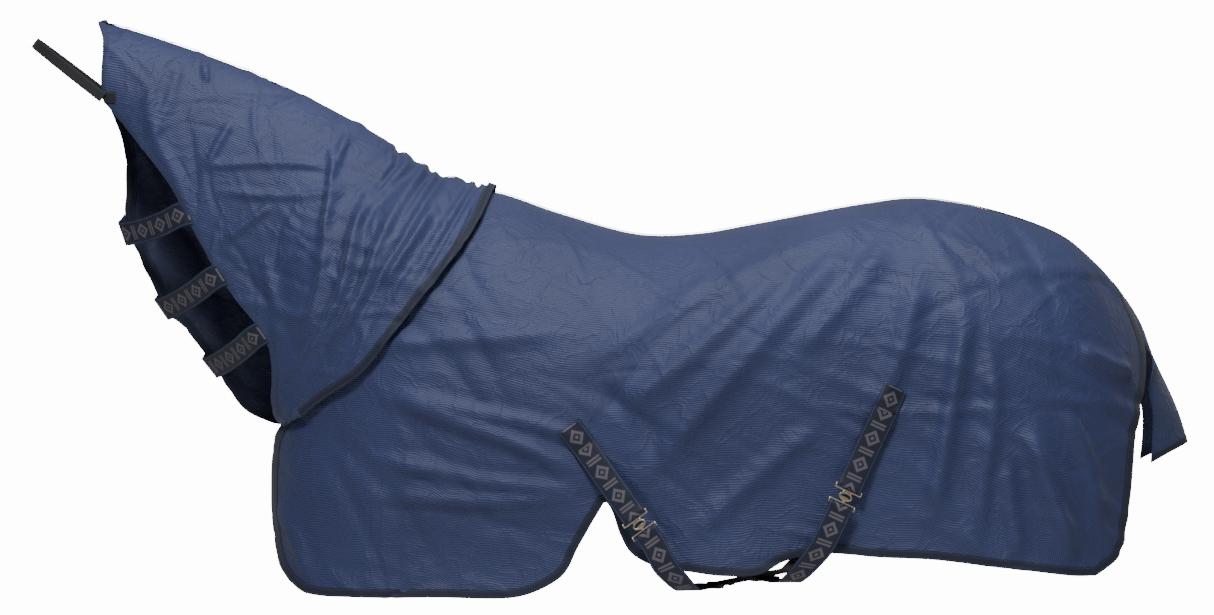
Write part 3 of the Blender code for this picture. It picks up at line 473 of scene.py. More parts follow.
def cloth_mesh(name: str, points: Array, uv: Array | None = None) -> bpy.types.Object:
    """A surface through a grid of points, with its pattern map.

    Args:
        name: the object's name.
        points: columns by rows by coordinates.
        uv: pattern coordinates in metres, or None to measure them.

    Returns:
        The new object, linked to the scene.
    """
    columns, rows = points.shape[:2]
    pattern = knit_uv(points) if uv is None else uv
    bm = bmesh.new()
    bmesh.ops.create_grid(bm, x_segments=columns - 1, y_segments=rows - 1, size=0.5)
    layer = bm.loops.layers.uv.new("Pattern")
    places = {}
    for vert in bm.verts:
        places[vert] = (round((vert.co.x + 0.5) * (columns - 1)), round((vert.co.y + 0.5) * (rows - 1)))
    for face in bm.faces:
        face.smooth = True
        for loop in face.loops:
            loop[layer].uv = pattern[places[loop.vert]]
    for vert, place in places.items():
        vert.co = points[place]
    return link(name, bm)


def link(name: str, bm: bmesh.types.BMesh) -> bpy.types.Object:
    """Turns a bmesh into an object of the scene and frees it."""
    mesh = bpy.data.meshes.new(name)
    bm.to_mesh(mesh)
    bm.free()
    obj = bpy.data.objects.new(name, mesh)
    bpy.context.scene.collection.objects.link(obj)
    return obj


def thicken(obj: bpy.types.Object, thickness: float, edge: float = 0.0) -> None:
    """Gives a surface its thickness, equal on both sides, and rounds its edges.

    Args:
        obj: the surface.
        thickness: in metres.
        edge: width of the rounding, or 0 for none.
    """
    wall = obj.modifiers.new("Thickness", "SOLIDIFY")
    wall.thickness = thickness
    wall.offset = 0.0
    if edge:
        soft = obj.modifiers.new("Rounded edges", "BEVEL")
        soft.width = edge
        soft.segments = 2
        soft.limit_method = "ANGLE"
        soft.angle_limit = math.radians(60)


@dataclass(frozen=True)
class ClipFrame:
    """Local axes of a clip: across the webbing, away from its end, and outwards."""

    origin: Array
    away: Array
    outward: Array

    @classmethod
    def of(cls, origin: Array, away: Array, outward: Array) -> "ClipFrame":
        """A frame from directions that needn't be square or of unit length."""
        ahead = np.asarray(away, float) / np.linalg.norm(away)
        out = np.asarray(outward, float) - np.asarray(outward, float) @ ahead * ahead
        return cls(np.asarray(origin, float), ahead, out / np.linalg.norm(out))

    @property
    def across(self) -> Array:
        """Direction across the webbing."""
        return np.cross(self.away, self.outward)

    def world(self, across: float, away: float, outward: float) -> Array:
        """A place given along the clip's axes, as a point of the model."""
        return self.origin + across * self.across + away * self.away + outward * self.outward

    def facing(self, away: float, outward: float) -> "ClipFrame":
        """The frame of a clip that faces this one."""
        return ClipFrame(self.world(0, away, outward), -self.away, self.outward)


def rounded(half_width: float, low: float, high: float, radius: float, steps: int = 4) -> list[Point]:
    """Outline of a bar with rounded corners."""
    out = []
    for cx, cy, start in ((half_width - radius, high - radius, 0), (radius - half_width, high - radius, 90),
                          (radius - half_width, low + radius, 180), (half_width - radius, low + radius, 270)):
        for step in range(steps + 1):
            angle = math.radians(start + 90 * step / steps)
            out.append((cx + radius * math.cos(angle), cy + radius * math.sin(angle)))
    return out


def oval(middle: float, half_width: float, half_height: float, count: int = 32) -> list[Point]:
    """Outline of an oval."""
    angles = [2 * math.pi * k / count for k in range(count)]
    return [(half_width * math.cos(a), middle + half_height * math.sin(a)) for a in angles]


def add_slab(bm: bmesh.types.BMesh, outer: list[Point], inner: list[Point] | None, axes: ClipFrame,
             low: float, high: float, edge: float) -> None:
    """Adds a plate with rounded edges, with or without a hole, to a bmesh.

    Args:
        bm: the bmesh.
        outer: outline of the plate, across and away.
        inner: outline of its hole, with as many points as outer, or None.
        axes: the clip's axes.
        low, high: where the plate starts and ends, outwards.
        edge: width of its rounded edges.
    """
    part = bmesh.new()
    loops = []
    for outline in (outer, inner) if inner else (outer,):
        verts = [part.verts.new((x, y, low)) for x, y in outline]
        loops.append([part.edges.new((a, b)) for a, b in zip(verts, verts[1:] + verts[:1])])
    if inner:
        faces = bmesh.ops.bridge_loops(part, edges=loops[0] + loops[1])["faces"]
    else:
        faces = bmesh.ops.contextual_create(part, geom=loops[0])["faces"]
    raised = bmesh.ops.extrude_face_region(part, geom=faces, use_keep_orig=True)["geom"]
    bmesh.ops.translate(part, vec=(0, 0, high - low), verts=[g for g in raised if isinstance(g, bmesh.types.BMVert)])
    bmesh.ops.recalc_face_normals(part, faces=part.faces)
    sharp = [e for e in part.edges if e.is_manifold and e.calc_face_angle(0.0) > 1.0]
    bmesh.ops.bevel(part, geom=sharp, offset=edge, segments=2, profile=0.5, affect="EDGES", material=-1)
    for vert in part.verts:
        vert.co = axes.world(*vert.co)
    bmesh.ops.recalc_face_normals(part, faces=part.faces)
    if part.calc_volume(signed=True) < 0:
        bmesh.ops.reverse_faces(part, faces=part.faces)
    scratch = bpy.data.meshes.new("scratch")
    part.to_mesh(scratch)
    part.free()
    bm.from_mesh(scratch)
    bpy.data.meshes.remove(scratch)


def add_rod(bm: bmesh.types.BMesh, a: Array, b: Array, radius: float, segments: int = 16) -> None:
    """Adds a rod with domed ends from a to b."""
    start, end = Vector(a), Vector(b)
    made = bmesh.ops.create_uvsphere(bm, u_segments=segments, v_segments=8, radius=radius)["verts"]
    half = (end - start).length / 2
    turn = (end - start).to_track_quat("Z", "Y")
    for vert in made:
        vert.co.z += math.copysign(half, vert.co.z) if abs(vert.co.z) > 1e-7 else 0.0
        vert.co = (start + end) / 2 + turn @ vert.co


def moulded(name: str, bm: bmesh.types.BMesh) -> bpy.types.Object:
    """Links a cast or moulded piece, smooth but for its sharp edges."""
    obj = link(name, bm)
    obj.data.shade_smooth()
    obj.data.set_sharp_from_angle(angle=math.radians(35))
    return obj


# ---- Shader nodes --------------------------------------------------------------------------------------


class Shade:
    """Builds the nodes of a material or a node group."""

    def __init__(self, tree: bpy.types.NodeTree) -> None:
        """Works on this node tree."""
        self.tree = tree

    def put(self, socket: bpy.types.NodeSocket, value: object) -> None:
        """Links a socket to an input, or sets its plain value."""
        if isinstance(value, bpy.types.NodeSocket):
            self.tree.links.new(value, socket)
        else:
            socket.default_value = value

    def add(self, kind: str, inputs: dict[str | int, object] | None = None, **settings: object) -> bpy.types.Node:
        """Adds a node.

        Args:
            kind: the node's type.
            inputs: values or sockets for its inputs.
            settings: its properties.

        Returns:
            The node.
        """
        node = self.tree.nodes.new(kind)
        for name, value in settings.items():
            setattr(node, name, value)
        for name, value in (inputs or {}).items():
            self.put(node.inputs[name], value)
        return node

    def math(self, operation: str, *values: object) -> bpy.types.NodeSocket:
        """One Math node's result."""
        return self.add("ShaderNodeMath", dict(enumerate(values)), operation=operation).outputs[0]

    def mix(self, factor: object, a: object, b: object) -> bpy.types.NodeSocket:
        """Mixes two colours."""
        node = self.add("ShaderNodeMix", data_type="RGBA")
        for socket, value in zip((node.inputs[0], node.inputs[6], node.inputs[7]), (factor, a, b)):
            self.put(socket, value)
        return node.outputs[2]

    def noise(self, vector: object, scale: float, detail: float = 2.0) -> bpy.types.NodeSocket:
        """A noise between 0 and 1."""
        return self.add("ShaderNodeTexNoise", {"Vector": vector, "Scale": scale, "Detail": detail}).outputs["Fac"]

    def wave(self, value: object, pitch: object) -> bpy.types.NodeSocket:
        """A smooth wave between 0 and 1 along a distance."""
        turns = self.math("MULTIPLY", self.math("DIVIDE", value, pitch), 2 * math.pi)
        return self.math("MULTIPLY_ADD", self.math("SINE", turns), 0.5, 0.5)

    def below(self, value: object, limit: float, soft: float) -> bpy.types.NodeSocket:
        """1 where the value is under the limit, with a soft edge."""
        node = self.add("ShaderNodeMapRange", {"Value": value, "From Min": limit - soft, "From Max": limit + soft,
                                               "To Min": 1.0, "To Max": 0.0})
        return node.outputs["Result"]

    def bump(self, height: object, normal: object | None = None) -> bpy.types.NodeSocket:
        """A normal from a height in metres."""
        inputs = {"Height": height, "Distance": 1.0, "Strength": 1.0}
        if normal is not None:
            inputs["Normal"] = normal
        return self.add("ShaderNodeBump", inputs).outputs["Normal"]


def group(name: str, inputs: dict[str, object], outputs: Sequence[str],
          fill: Callable[[Shade, bpy.types.Node], dict[str, object]]) -> bpy.types.NodeTree:
    """A shader node group, built once and kept by name.

    Args:
        name: the group's name.
        inputs: names and plain values of its inputs, a 3-tuple for a vector.
        outputs: names of its outputs, all single values.
        fill: builds the nodes and returns a socket for each output.

    Returns:
        The group.
    """
    if name in bpy.data.node_groups:
        return bpy.data.node_groups[name]
    tree = bpy.data.node_groups.new(name, "ShaderNodeTree")
    for label, value in inputs.items():
        kind = "NodeSocketVector" if isinstance(value, tuple) else "NodeSocketFloat"
        tree.interface.new_socket(name=label, in_out="INPUT", socket_type=kind).default_value = value
    for label in outputs:
        tree.interface.new_socket(name=label, in_out="OUTPUT", socket_type="NodeSocketFloat")
    shade = Shade(tree)
    sockets = fill(shade, shade.add("NodeGroupInput"))
    end = shade.add("NodeGroupOutput")
    for label, socket in sockets.items():
        tree.links.new(socket, end.inputs[label])
    return tree


def knit_group() -> bpy.types.NodeTree:
    """Knitted ribs across a cloth: their height, and their tone, which is painted sheen along the ribs and stitches."""

    def fill(shade: Shade, given: bpy.types.Node) -> dict[str, object]:
        """Ribs down the cloth, with stitches along each."""
        place = shade.add("ShaderNodeSeparateXYZ", {0: given.outputs["Pattern"]})
        along, down = place.outputs[0], place.outputs[1]
        drift = shade.noise(given.outputs["Pattern"], 9.0)
        even = shade.math("MULTIPLY_ADD", drift, given.outputs["Drift"], down)
        rib = shade.wave(even, given.outputs["Rib pitch"])
        stitch = shade.wave(shade.math("ADD", along, shade.math("MULTIPLY", down, 0.35)), 0.0021)
        # The tone is painted sheen: lighter on the ribs and stitches, as where light catches them.
        tone = shade.math("MULTIPLY_ADD", stitch, 0.22, shade.math("MULTIPLY", rib, 0.78))
        height = shade.math("MULTIPLY_ADD", shade.math("MULTIPLY", stitch, rib), 0.35,
                            shade.math("MULTIPLY", rib, 0.65))
        return {"Tone": tone, "Height": height}

    return group("knitted ribs", {"Pattern": (0.0, 0.0, 0.0), "Rib pitch": 0.005, "Drift": 0.0012},
                 ("Tone", "Height"), fill)


def crumple_group() -> bpy.types.NodeTree:
    """Small soft creases over a cloth: their height in metres and a mottled tone."""

    def fill(shade: Shade, given: bpy.types.Node) -> dict[str, object]:
        """Ridged noise for the creases and a fine noise over it."""
        place = given.outputs["Place"]
        ridges = shade.add("ShaderNodeTexNoise", {"Vector": place, "Scale": 17.0, "Detail": 3.0,
                                                  "Distortion": 0.7}).outputs["Fac"]
        sharp = shade.math("ABSOLUTE", shade.math("SUBTRACT", ridges, 0.5))
        crease = shade.math("POWER", shade.math("SUBTRACT", 1.0, shade.math("MULTIPLY", sharp, 2.0)), 6.0)
        fine = shade.noise(place, 60.0, 3.0)
        lift = shade.math("MULTIPLY_ADD", crease, given.outputs["Crease height"],
                          shade.math("MULTIPLY", fine, given.outputs["Fine height"]))
        return {"Height": lift, "Mottle": shade.noise(place, 6.0, 4.0)}

    return group("soft creases", {"Place": (0.0, 0.0, 0.0), "Crease height": 0.0012, "Fine height": 0.0005},
                 ("Height", "Mottle"), fill)


def stitch_group() -> bpy.types.NodeTree:
    """One dashed row of stitches at a distance across: 1 on the thread and 0 elsewhere."""

    def fill(shade: Shade, given: bpy.types.Node) -> dict[str, object]:
        """A narrow row, cut into dashes along it."""
        off = shade.math("ABSOLUTE", shade.math("SUBTRACT", shade.math("ABSOLUTE", given.outputs["Across"]),
                                                given.outputs["Row"]))
        row = shade.math("LESS_THAN", off, given.outputs["Thread"])
        dash = shade.math("LESS_THAN", shade.math("FRACT", shade.math("DIVIDE", given.outputs["Along"],
                                                                      given.outputs["Stitch"])), 0.68)
        return {"Mask": shade.math("MULTIPLY", row, dash)}

    return group("stitch row", {"Across": 0.0, "Along": 0.0, "Row": 0.006, "Thread": 0.0005, "Stitch": 0.0035},
                 ("Mask",), fill)


def weave_group() -> bpy.types.NodeTree:
    """Woven webbing: height and tone of its cords, which run along it with a slanting twill."""

    def fill(shade: Shade, given: bpy.types.Node) -> dict[str, object]:
        """Cords along the webbing, crossed by the twill."""
        across, along = given.outputs["Across"], given.outputs["Along"]
        cord = shade.wave(across, given.outputs["Cord"])
        slant = shade.wave(shade.math("ADD", along, shade.math("ABSOLUTE", across)), given.outputs["Twill"])
        return {"Height": shade.math("MULTIPLY_ADD", cord, 0.5, shade.math("MULTIPLY", slant, 0.5)),
                "Tone": shade.math("MULTIPLY", slant, cord)}

    return group("woven webbing", {"Across": 0.0, "Along": 0.0, "Cord": 0.0022, "Twill": 0.0026},
                 ("Height", "Tone"), fill)


Colour = tuple[float, float, float]


def rgba(colour: Colour) -> tuple[float, float, float, float]:
    """A colour with full alpha."""
    return (*colour, 1.0)


@dataclass(frozen=True)
class Finish:
    """What every finish has: a name, a roughness and the sheen of its fibres."""

    name: str
    roughness: float
    sheen: float = 0.0

    def begin(self) -> tuple[bpy.types.Material, Shade, bpy.types.Node]:
        """A new material, its nodes and its main shader."""
        made = bpy.data.materials.new(self.name)
        made.use_nodes = True
        main = made.node_tree.nodes["Principled BSDF"]
        main.inputs["Roughness"].default_value = self.roughness
        main.inputs["Sheen Weight"].default_value = self.sheen
        main.inputs["Sheen Roughness"].default_value = 0.45
        return made, Shade(made.node_tree), main

    def pattern(self, shade: Shade) -> tuple[bpy.types.NodeSocket, bpy.types.NodeSocket, bpy.types.NodeSocket]:
        """The pattern map, and its two distances."""
        uv = shade.add("ShaderNodeUVMap", uv_map="Pattern").outputs[0]
        split = shade.add("ShaderNodeSeparateXYZ", {0: uv})
        return uv, split.outputs[0], split.outputs[1]

    def material(self) -> bpy.types.Material:
        """The material, made once."""
        found = bpy.data.materials.get(self.name)
        return found if found else self.make()

    def make(self) -> bpy.types.Material:
        """Builds the material."""
        raise NotImplementedError


@dataclass(frozen=True)
class KnitFinish(Finish):
    """Light knitted cloth with fine ribs, and painted shade that darkens its inner face."""

    light: Colour = (0.052, 0.072, 0.205)
    dark: Colour = (0.010, 0.015, 0.056)
    # inner: painted shade, a dark colour for the inner face where the inside of the rug lies in shadow.
    inner: Colour = (0.040, 0.050, 0.105)
    rib_pitch: float = 0.005
    rib_height: float = 0.0005
    # Sign that picks the face which gets the painted shade, or 0 for none.
    painted_shade_side: float = 0.0

    def make(self) -> bpy.types.Material:
        """Builds the material."""
        made, shade, main = self.begin()
        uv, _, _ = self.pattern(shade)
        ribs = shade.add("ShaderNodeGroup", node_tree=knit_group())
        shade.put(ribs.inputs["Pattern"], uv)
        shade.put(ribs.inputs["Rib pitch"], self.rib_pitch)
        where = shade.add("ShaderNodeTexCoord")
        soft = shade.add("ShaderNodeGroup", node_tree=crumple_group())
        shade.put(soft.inputs["Place"], where.outputs["Object"])
        # The mottle is the cloth's own uneven tone; the rib tone adds painted sheen.
        tone = shade.math("MULTIPLY_ADD", soft.outputs["Mottle"], 0.5,
                          shade.math("MULTIPLY", ribs.outputs["Tone"], 0.75))
        colour = shade.mix(tone, rgba(self.dark), rgba(self.light))
        # Painted shade: the inner face, picked out by the sign of its normal, takes the dark inner colour.
        if self.painted_shade_side:
            facing = shade.add("ShaderNodeSeparateXYZ", {0: where.outputs["Normal"]}).outputs[1]
            inside = shade.below(shade.math("MULTIPLY", facing, self.painted_shade_side), -0.30, 0.15)
            colour = shade.mix(inside, colour, rgba(self.inner))
        shade.put(main.inputs["Base Color"], colour)
        height = shade.math("MULTIPLY_ADD", ribs.outputs["Height"], self.rib_height, soft.outputs["Height"])
        shade.put(main.inputs["Normal"], shade.bump(height))
        shade.put(main.inputs["Roughness"],
                  shade.math("MULTIPLY_ADD", ribs.outputs["Height"], -0.10, self.roughness + 0.05))
        return made


@dataclass(frozen=True)
class BindingFinish(Finish):
    """Woven tape with a row of stitches near each edge."""

    colour: Colour = (0.015, 0.021, 0.052)
    thread: Colour = (0.045, 0.060, 0.125)
    row: float = 0.0052

    def make(self) -> bpy.types.Material:
        """Builds the material."""
        made, shade, main = self.begin()
        _, across, along = self.pattern(shade)
        weave = shade.add("ShaderNodeGroup", node_tree=weave_group())
        stitch = shade.add("ShaderNodeGroup", node_tree=stitch_group())
        for node in (weave, stitch):
            shade.put(node.inputs["Across"], across)
            shade.put(node.inputs["Along"], along)
        shade.put(weave.inputs["Cord"], 0.0012)
        shade.put(weave.inputs["Twill"], 0.0016)
        shade.put(stitch.inputs["Row"], self.row)
        dark = tuple(0.75 * part for part in self.colour)
        cloth = shade.mix(weave.outputs["Tone"], rgba(dark), rgba(self.colour))
        shade.put(main.inputs["Base Color"], shade.mix(stitch.outputs["Mask"], cloth, rgba(self.thread)))
        height = shade.math("MULTIPLY_ADD", weave.outputs["Height"], 0.00015,
                            shade.math("MULTIPLY", stitch.outputs["Mask"], 0.0003))
        shade.put(main.inputs["Normal"], shade.bump(height))
        return made


class Motif(Enum):
    """Pattern woven into a webbing."""

    PLAIN = 0
    LOZENGES = 1


@dataclass(frozen=True)
class WebbingFinish(Finish):
    """Woven strap webbing, with edge stitching and a grey geometric pattern where it has one.

    width: of the webbing. repeat: from one lozenge to the next. lozenge, opening and dot: half lengths of the
    lozenge, of its open middle and of the dot in it. bar_place, bar_half and bar_reach: a bar's distance from
    the lozenge's middle, half its thickness and half its length. blur: softness of every outline.
    """

    colour: Colour = (0.007, 0.010, 0.030)
    cord: Colour = (0.014, 0.019, 0.050)
    grey: Colour = (0.150, 0.135, 0.160)
    thread: Colour = (0.060, 0.110, 0.240)
    motif: Motif = Motif.LOZENGES
    width: float = 0.050
    repeat: float = 0.056
    lozenge: float = 0.0175
    opening: float = 0.0095
    dot: float = 0.0045
    bar_place: float = 0.0245
    bar_half: float = 0.0022
    bar_reach: float = 0.0150
    blur: float = 0.0004

    def shape(self, shade: Shade, across: bpy.types.NodeSocket, along: bpy.types.NodeSocket) -> bpy.types.NodeSocket:
        """Mask of the pattern: a lozenge with an open middle, between two short bars.

        Args:
            shade: the material's nodes.
            across, along: distances over the webbing.

        Returns:
            1 on the pattern and 0 elsewhere.
        """
        step = shade.math("SUBTRACT", shade.math("FRACT", shade.math("DIVIDE", along, self.repeat)), 0.5)
        far = shade.math("MULTIPLY", shade.math("ABSOLUTE", step), self.repeat)
        wide = shade.math("ABSOLUTE", across)
        slope = shade.math("MULTIPLY_ADD", wide, 1.05, far)
        ring = shade.math("MULTIPLY", shade.below(slope, self.lozenge, self.blur),
                          shade.math("SUBTRACT", 1.0, shade.below(slope, self.opening, self.blur)))
        dot = shade.below(slope, self.dot, self.blur)
        off = shade.math("ABSOLUTE", shade.math("SUBTRACT", far, self.bar_place))
        bar = shade.math("MULTIPLY", shade.below(off, self.bar_half, 0.75 * self.blur),
                         shade.below(wide, self.bar_reach, self.blur))
        return shade.math("MINIMUM", 1.0, shade.math("ADD", bar, shade.math("ADD", ring, dot)))

    def make(self) -> bpy.types.Material:
        """Builds the material."""
        made, shade, main = self.begin()
        _, across, along = self.pattern(shade)
        weave = shade.add("ShaderNodeGroup", node_tree=weave_group())
        stitch = shade.add("ShaderNodeGroup", node_tree=stitch_group())
        for node in (weave, stitch):
            shade.put(node.inputs["Across"], across)
            shade.put(node.inputs["Along"], along)
        shade.put(stitch.inputs["Row"], self.width / 2 - 0.0030)
        shade.put(stitch.inputs["Thread"], 0.0007)
        colour = shade.mix(weave.outputs["Tone"], rgba(self.colour), rgba(self.cord))
        if self.motif is Motif.LOZENGES:
            worn = shade.math("MULTIPLY", self.shape(shade, across, along),
                              shade.math("MULTIPLY_ADD", weave.outputs["Height"], 0.35, 0.65))
            colour = shade.mix(worn, colour, rgba(self.grey))
        colour = shade.mix(stitch.outputs["Mask"], colour, rgba(self.thread))
        shade.put(main.inputs["Base Color"], colour)
        height = shade.math("MULTIPLY_ADD", weave.outputs["Height"], 0.00025,
                            shade.math("MULTIPLY", stitch.outputs["Mask"], 0.0003))
        shade.put(main.inputs["Normal"], shade.bump(height))
        return made


@dataclass(frozen=True)
class MetalFinish(Finish):
    """Pale satin brass plate with faint scratches and dull patches."""

    bright: Colour = (0.80, 0.68, 0.50)
    dull: Colour = (0.52, 0.41, 0.27)

    def make(self) -> bpy.types.Material:
        """Builds the material."""
        made, shade, main = self.begin()
        place = shade.add("ShaderNodeTexCoord").outputs["Object"]
        patches = shade.noise(place, 120.0, 4.0)
        scratches = shade.noise(place, 900.0, 2.0)
        shade.put(main.inputs["Base Color"], shade.mix(patches, rgba(self.bright), rgba(self.dull)))
        shade.put(main.inputs["Metallic"], shade.math("MULTIPLY_ADD", patches, -0.06, 1.0))
        shade.put(main.inputs["Roughness"], shade.math("MULTIPLY_ADD", patches, 0.22, self.roughness))
        shade.put(main.inputs["Normal"], shade.bump(shade.math("MULTIPLY", scratches, 0.00003)))
        return made


@dataclass(frozen=True)
class NylonFinish(Finish):
    """Moulded nylon with a fine grain."""

    colour: Colour = (0.012, 0.013, 0.019)

    def make(self) -> bpy.types.Material:
        """Builds the material."""
        made, shade, main = self.begin()
        place = shade.add("ShaderNodeTexCoord").outputs["Object"]
        grain = shade.noise(place, 1500.0, 3.0)
        light = tuple(1.6 * part for part in self.colour)
        shade.put(main.inputs["Base Color"], shade.mix(grain, rgba(self.colour), rgba(light)))
        shade.put(main.inputs["Roughness"], shade.math("MULTIPLY_ADD", grain, 0.15, self.roughness))
        shade.put(main.inputs["Normal"], shade.bump(shade.math("MULTIPLY", grain, 0.00004)))
        return made


@dataclass(frozen=True)
class StageFinish(Finish):
    """Plain pale paper."""

    colour: Colour = (0.86, 0.86, 0.87)

    def make(self) -> bpy.types.Material:
        """Builds the material."""
        made, shade, main = self.begin()
        place = shade.add("ShaderNodeTexCoord").outputs["Object"]
        tone = shade.noise(place, 2.0, 3.0)
        grey = tuple(0.97 * part for part in self.colour)
        shade.put(main.inputs["Base Color"], shade.mix(tone, rgba(self.colour), rgba(grey)))
        return made


# The near and far knits differ only in which face gets the painted shade of the inside.
NEAR_KNIT = KnitFinish("ribbed knit, near side", 0.54, 0.12, painted_shade_side=-1.0)
FAR_KNIT = KnitFinish("ribbed knit, far side", 0.54, 0.12, painted_shade_side=1.0)
HEM_KNIT = KnitFinish("ribbed knit hem", 0.66, 0.2, light=(0.040, 0.055, 0.150), dark=(0.016, 0.023, 0.066))
BINDING = BindingFinish("navy binding", 0.72, 0.15)
TAPE = BindingFinish("navy seam tape", 0.72, 0.15, row=0.0075)
STRAP = WebbingFinish("patterned strap webbing", 0.6, 0.1)
PLAIN_STRAP = WebbingFinish("plain strap webbing", 0.6, 0.1, motif=Motif.PLAIN)
BROW_WEBBING = WebbingFinish("black ribbed webbing", 0.7, 0.1, colour=(0.010, 0.010, 0.012), cord=(0.030, 0.030, 0.033),
                             thread=(0.03, 0.03, 0.035), motif=Motif.PLAIN, width=0.022)
LOOP_PILE = NylonFinish("black loop pile", 0.9, 0.3)
BRASS = MetalFinish("satin brass", 0.26)
NYLON = NylonFinish("black nylon", 0.45)
PAPER = StageFinish("pale paper", 0.9)


# ---- Folds of each cloth -------------------------------------------------------------------------------

BODY_GAIN = 1.7
NECK_GAIN = 1.5
SPINE_FADE = 0.05
BODY_NEAR_FOLDS = lay(
    Swell((0.90, -0.42), 0.30, 0.22, 0.010), Swell((0.05, -0.36), 0.22, 0.20, 0.008),
    Swell((0.50, -0.62), 0.26, 0.20, -0.018), Swell((-0.05, -0.74), 0.30, 0.10, -0.012),
    Fold(((-0.258, -0.532), (-0.026, -0.576), (0.212, -0.602)), 0.0075, 0.014, 0.9),
    Fold(((-0.230, -0.404), (-0.078, -0.462), (0.060, -0.510), (0.190, -0.575)), 0.0090, 0.018, 0.9),
    Fold(((-0.272, -0.612), (-0.026, -0.620), (0.200, -0.612)), 0.0060, 0.012, 0.8),
    Fold(((-0.250, -0.316), (-0.046, -0.306), (0.160, -0.300)), 0.0065, 0.020, 0.8),
    Fold(((-0.202, -0.392), (-0.046, -0.430), (0.134, -0.474), (0.200, -0.520)), 0.0070, 0.016, -0.8),
    Fold(((0.796, -0.090), (0.694, -0.210), (0.574, -0.340)), 0.0070, 0.024, 0.7),
    Fold(((0.778, -0.040), (0.674, -0.090), (0.530, -0.150), (0.400, -0.230)), 0.0070, 0.026, 0.7),
    Fold(((0.734, -0.080), (0.534, -0.280), (0.394, -0.440), (0.260, -0.600)), 0.0085, 0.028, 0.8),
    Fold(((0.614, -0.130), (0.414, -0.300), (0.214, -0.460)), 0.0070, 0.024, 0.7),
    Fold(((0.480, -0.140), (0.320, -0.260), (0.150, -0.360)), 0.0055, 0.022, 0.7),
    Fold(((0.660, -0.440), (0.520, -0.560), (0.380, -0.680)), 0.0065, 0.022, 0.6),
    Fold(((0.900, -0.202), (0.914, -0.270), (0.906, -0.340), (0.874, -0.534), (0.850, -0.680)), 0.0100, 0.022, 0.8),
    Fold(((0.850, -0.162), (0.826, -0.260), (0.790, -0.368), (0.740, -0.480)), 0.0080, 0.028, -0.7),
    Fold(((0.960, -0.260), (0.975, -0.400), (0.960, -0.560), (0.935, -0.720)), 0.0065, 0.020, 0.7),
    Fold(((1.140, -0.318), (1.214, -0.352), (1.276, -0.368)), 0.0080, 0.014, 0.8),
    Fold(((1.038, -0.450), (1.078, -0.578), (1.144, -0.744)), 0.0110, 0.022, 0.8),
    Fold(((1.000, -0.520), (1.010, -0.620), (1.030, -0.740)), 0.0070, 0.018, 0.7),
    Fold(((1.172, -0.140), (1.228, -0.174), (1.274, -0.232)), 0.0060, 0.012, 0.8),
    Fold(((0.574, -0.428), (0.814, -0.440), (1.034, -0.434)), 0.0022, 0.006, 0.6),
    Fold(((-0.440, -0.624), (-0.406, -0.698), (-0.364, -0.790)), 0.0050, 0.016, 0.6),
    Fold(((1.100, -0.420), (1.160, -0.520), (1.200, -0.680)), 0.0060, 0.018, 0.6),
    Fold(((0.180, -0.360), (0.300, -0.480), (0.350, -0.600)), -0.0045, 0.020, 0.5),
    Creases(150, 0.075, 0.0055, 0.0011, -0.25, 0.9, 11), Creases(60, 0.16, 0.012, 0.0020, -0.5, 0.6, 12),
    gain=BODY_GAIN, fade=SPINE_FADE, line=FORM.top)
BODY_FAR_FOLDS = lay(
    Swell((0.90, -0.42), 0.30, 0.22, 0.010), Swell((0.50, -0.62), 0.26, 0.20, -0.018),
    Fold(((-0.230, -0.420), (-0.060, -0.470), (0.190, -0.560)), 0.0085, 0.018, 0.9),
    Fold(((0.780, -0.080), (0.560, -0.270), (0.300, -0.560)), 0.0085, 0.028, 0.8),
    Fold(((0.640, -0.130), (0.430, -0.310), (0.230, -0.470)), 0.0070, 0.024, 0.7),
    Fold(((0.890, -0.210), (0.905, -0.350), (0.870, -0.640)), 0.0090, 0.022, 0.8),
    Fold(((1.050, -0.430), (1.090, -0.580), (1.140, -0.730)), 0.0100, 0.022, 0.8),
    Creases(130, 0.075, 0.0055, 0.0011, -0.25, 0.9, 21), Creases(50, 0.16, 0.012, 0.0020, -0.5, 0.6, 22),
    gain=BODY_GAIN, fade=SPINE_FADE, line=FORM.top)


@dataclass(frozen=True)
class Gathers:
    """Ruffles where elastic draws the crest together, fanning down the neck cover.

    start, end: X of the gathered part. pitch: between two ruffles at the crest. height: of a ruffle
    there. depth: how far below the crest they reach.
    """

    start: float = -0.235
    end: float = -0.004
    pitch: float = 0.030
    height: float = 0.0040
    depth: float = 0.24

    def rise(self, x: Array, z: Array) -> Array:
        """How far the ruffles lift the cloth at these places."""
        below = np.clip(FORM.top(x) + 0.03 - z, 0.0, 1.0)
        crest = x + 0.42 * below
        inside = ease((crest - self.start) / 0.05) * ease((self.end - crest) / 0.03 + 0.5)
        sway = 0.010 * np.sin(9.0 * below + 30 * crest) + 0.008 * np.sin(61 * crest + 1.3)
        wave = np.sin(2 * math.pi * (crest + sway) / (self.pitch * (1 + 1.3 * below)))
        step = np.sin(2 * math.pi * (crest + sway) / (self.pitch * 2.6) + 1.0)
        return self.height * inside * (0.75 * wave + 0.6 * step) * np.exp(-below / self.depth)


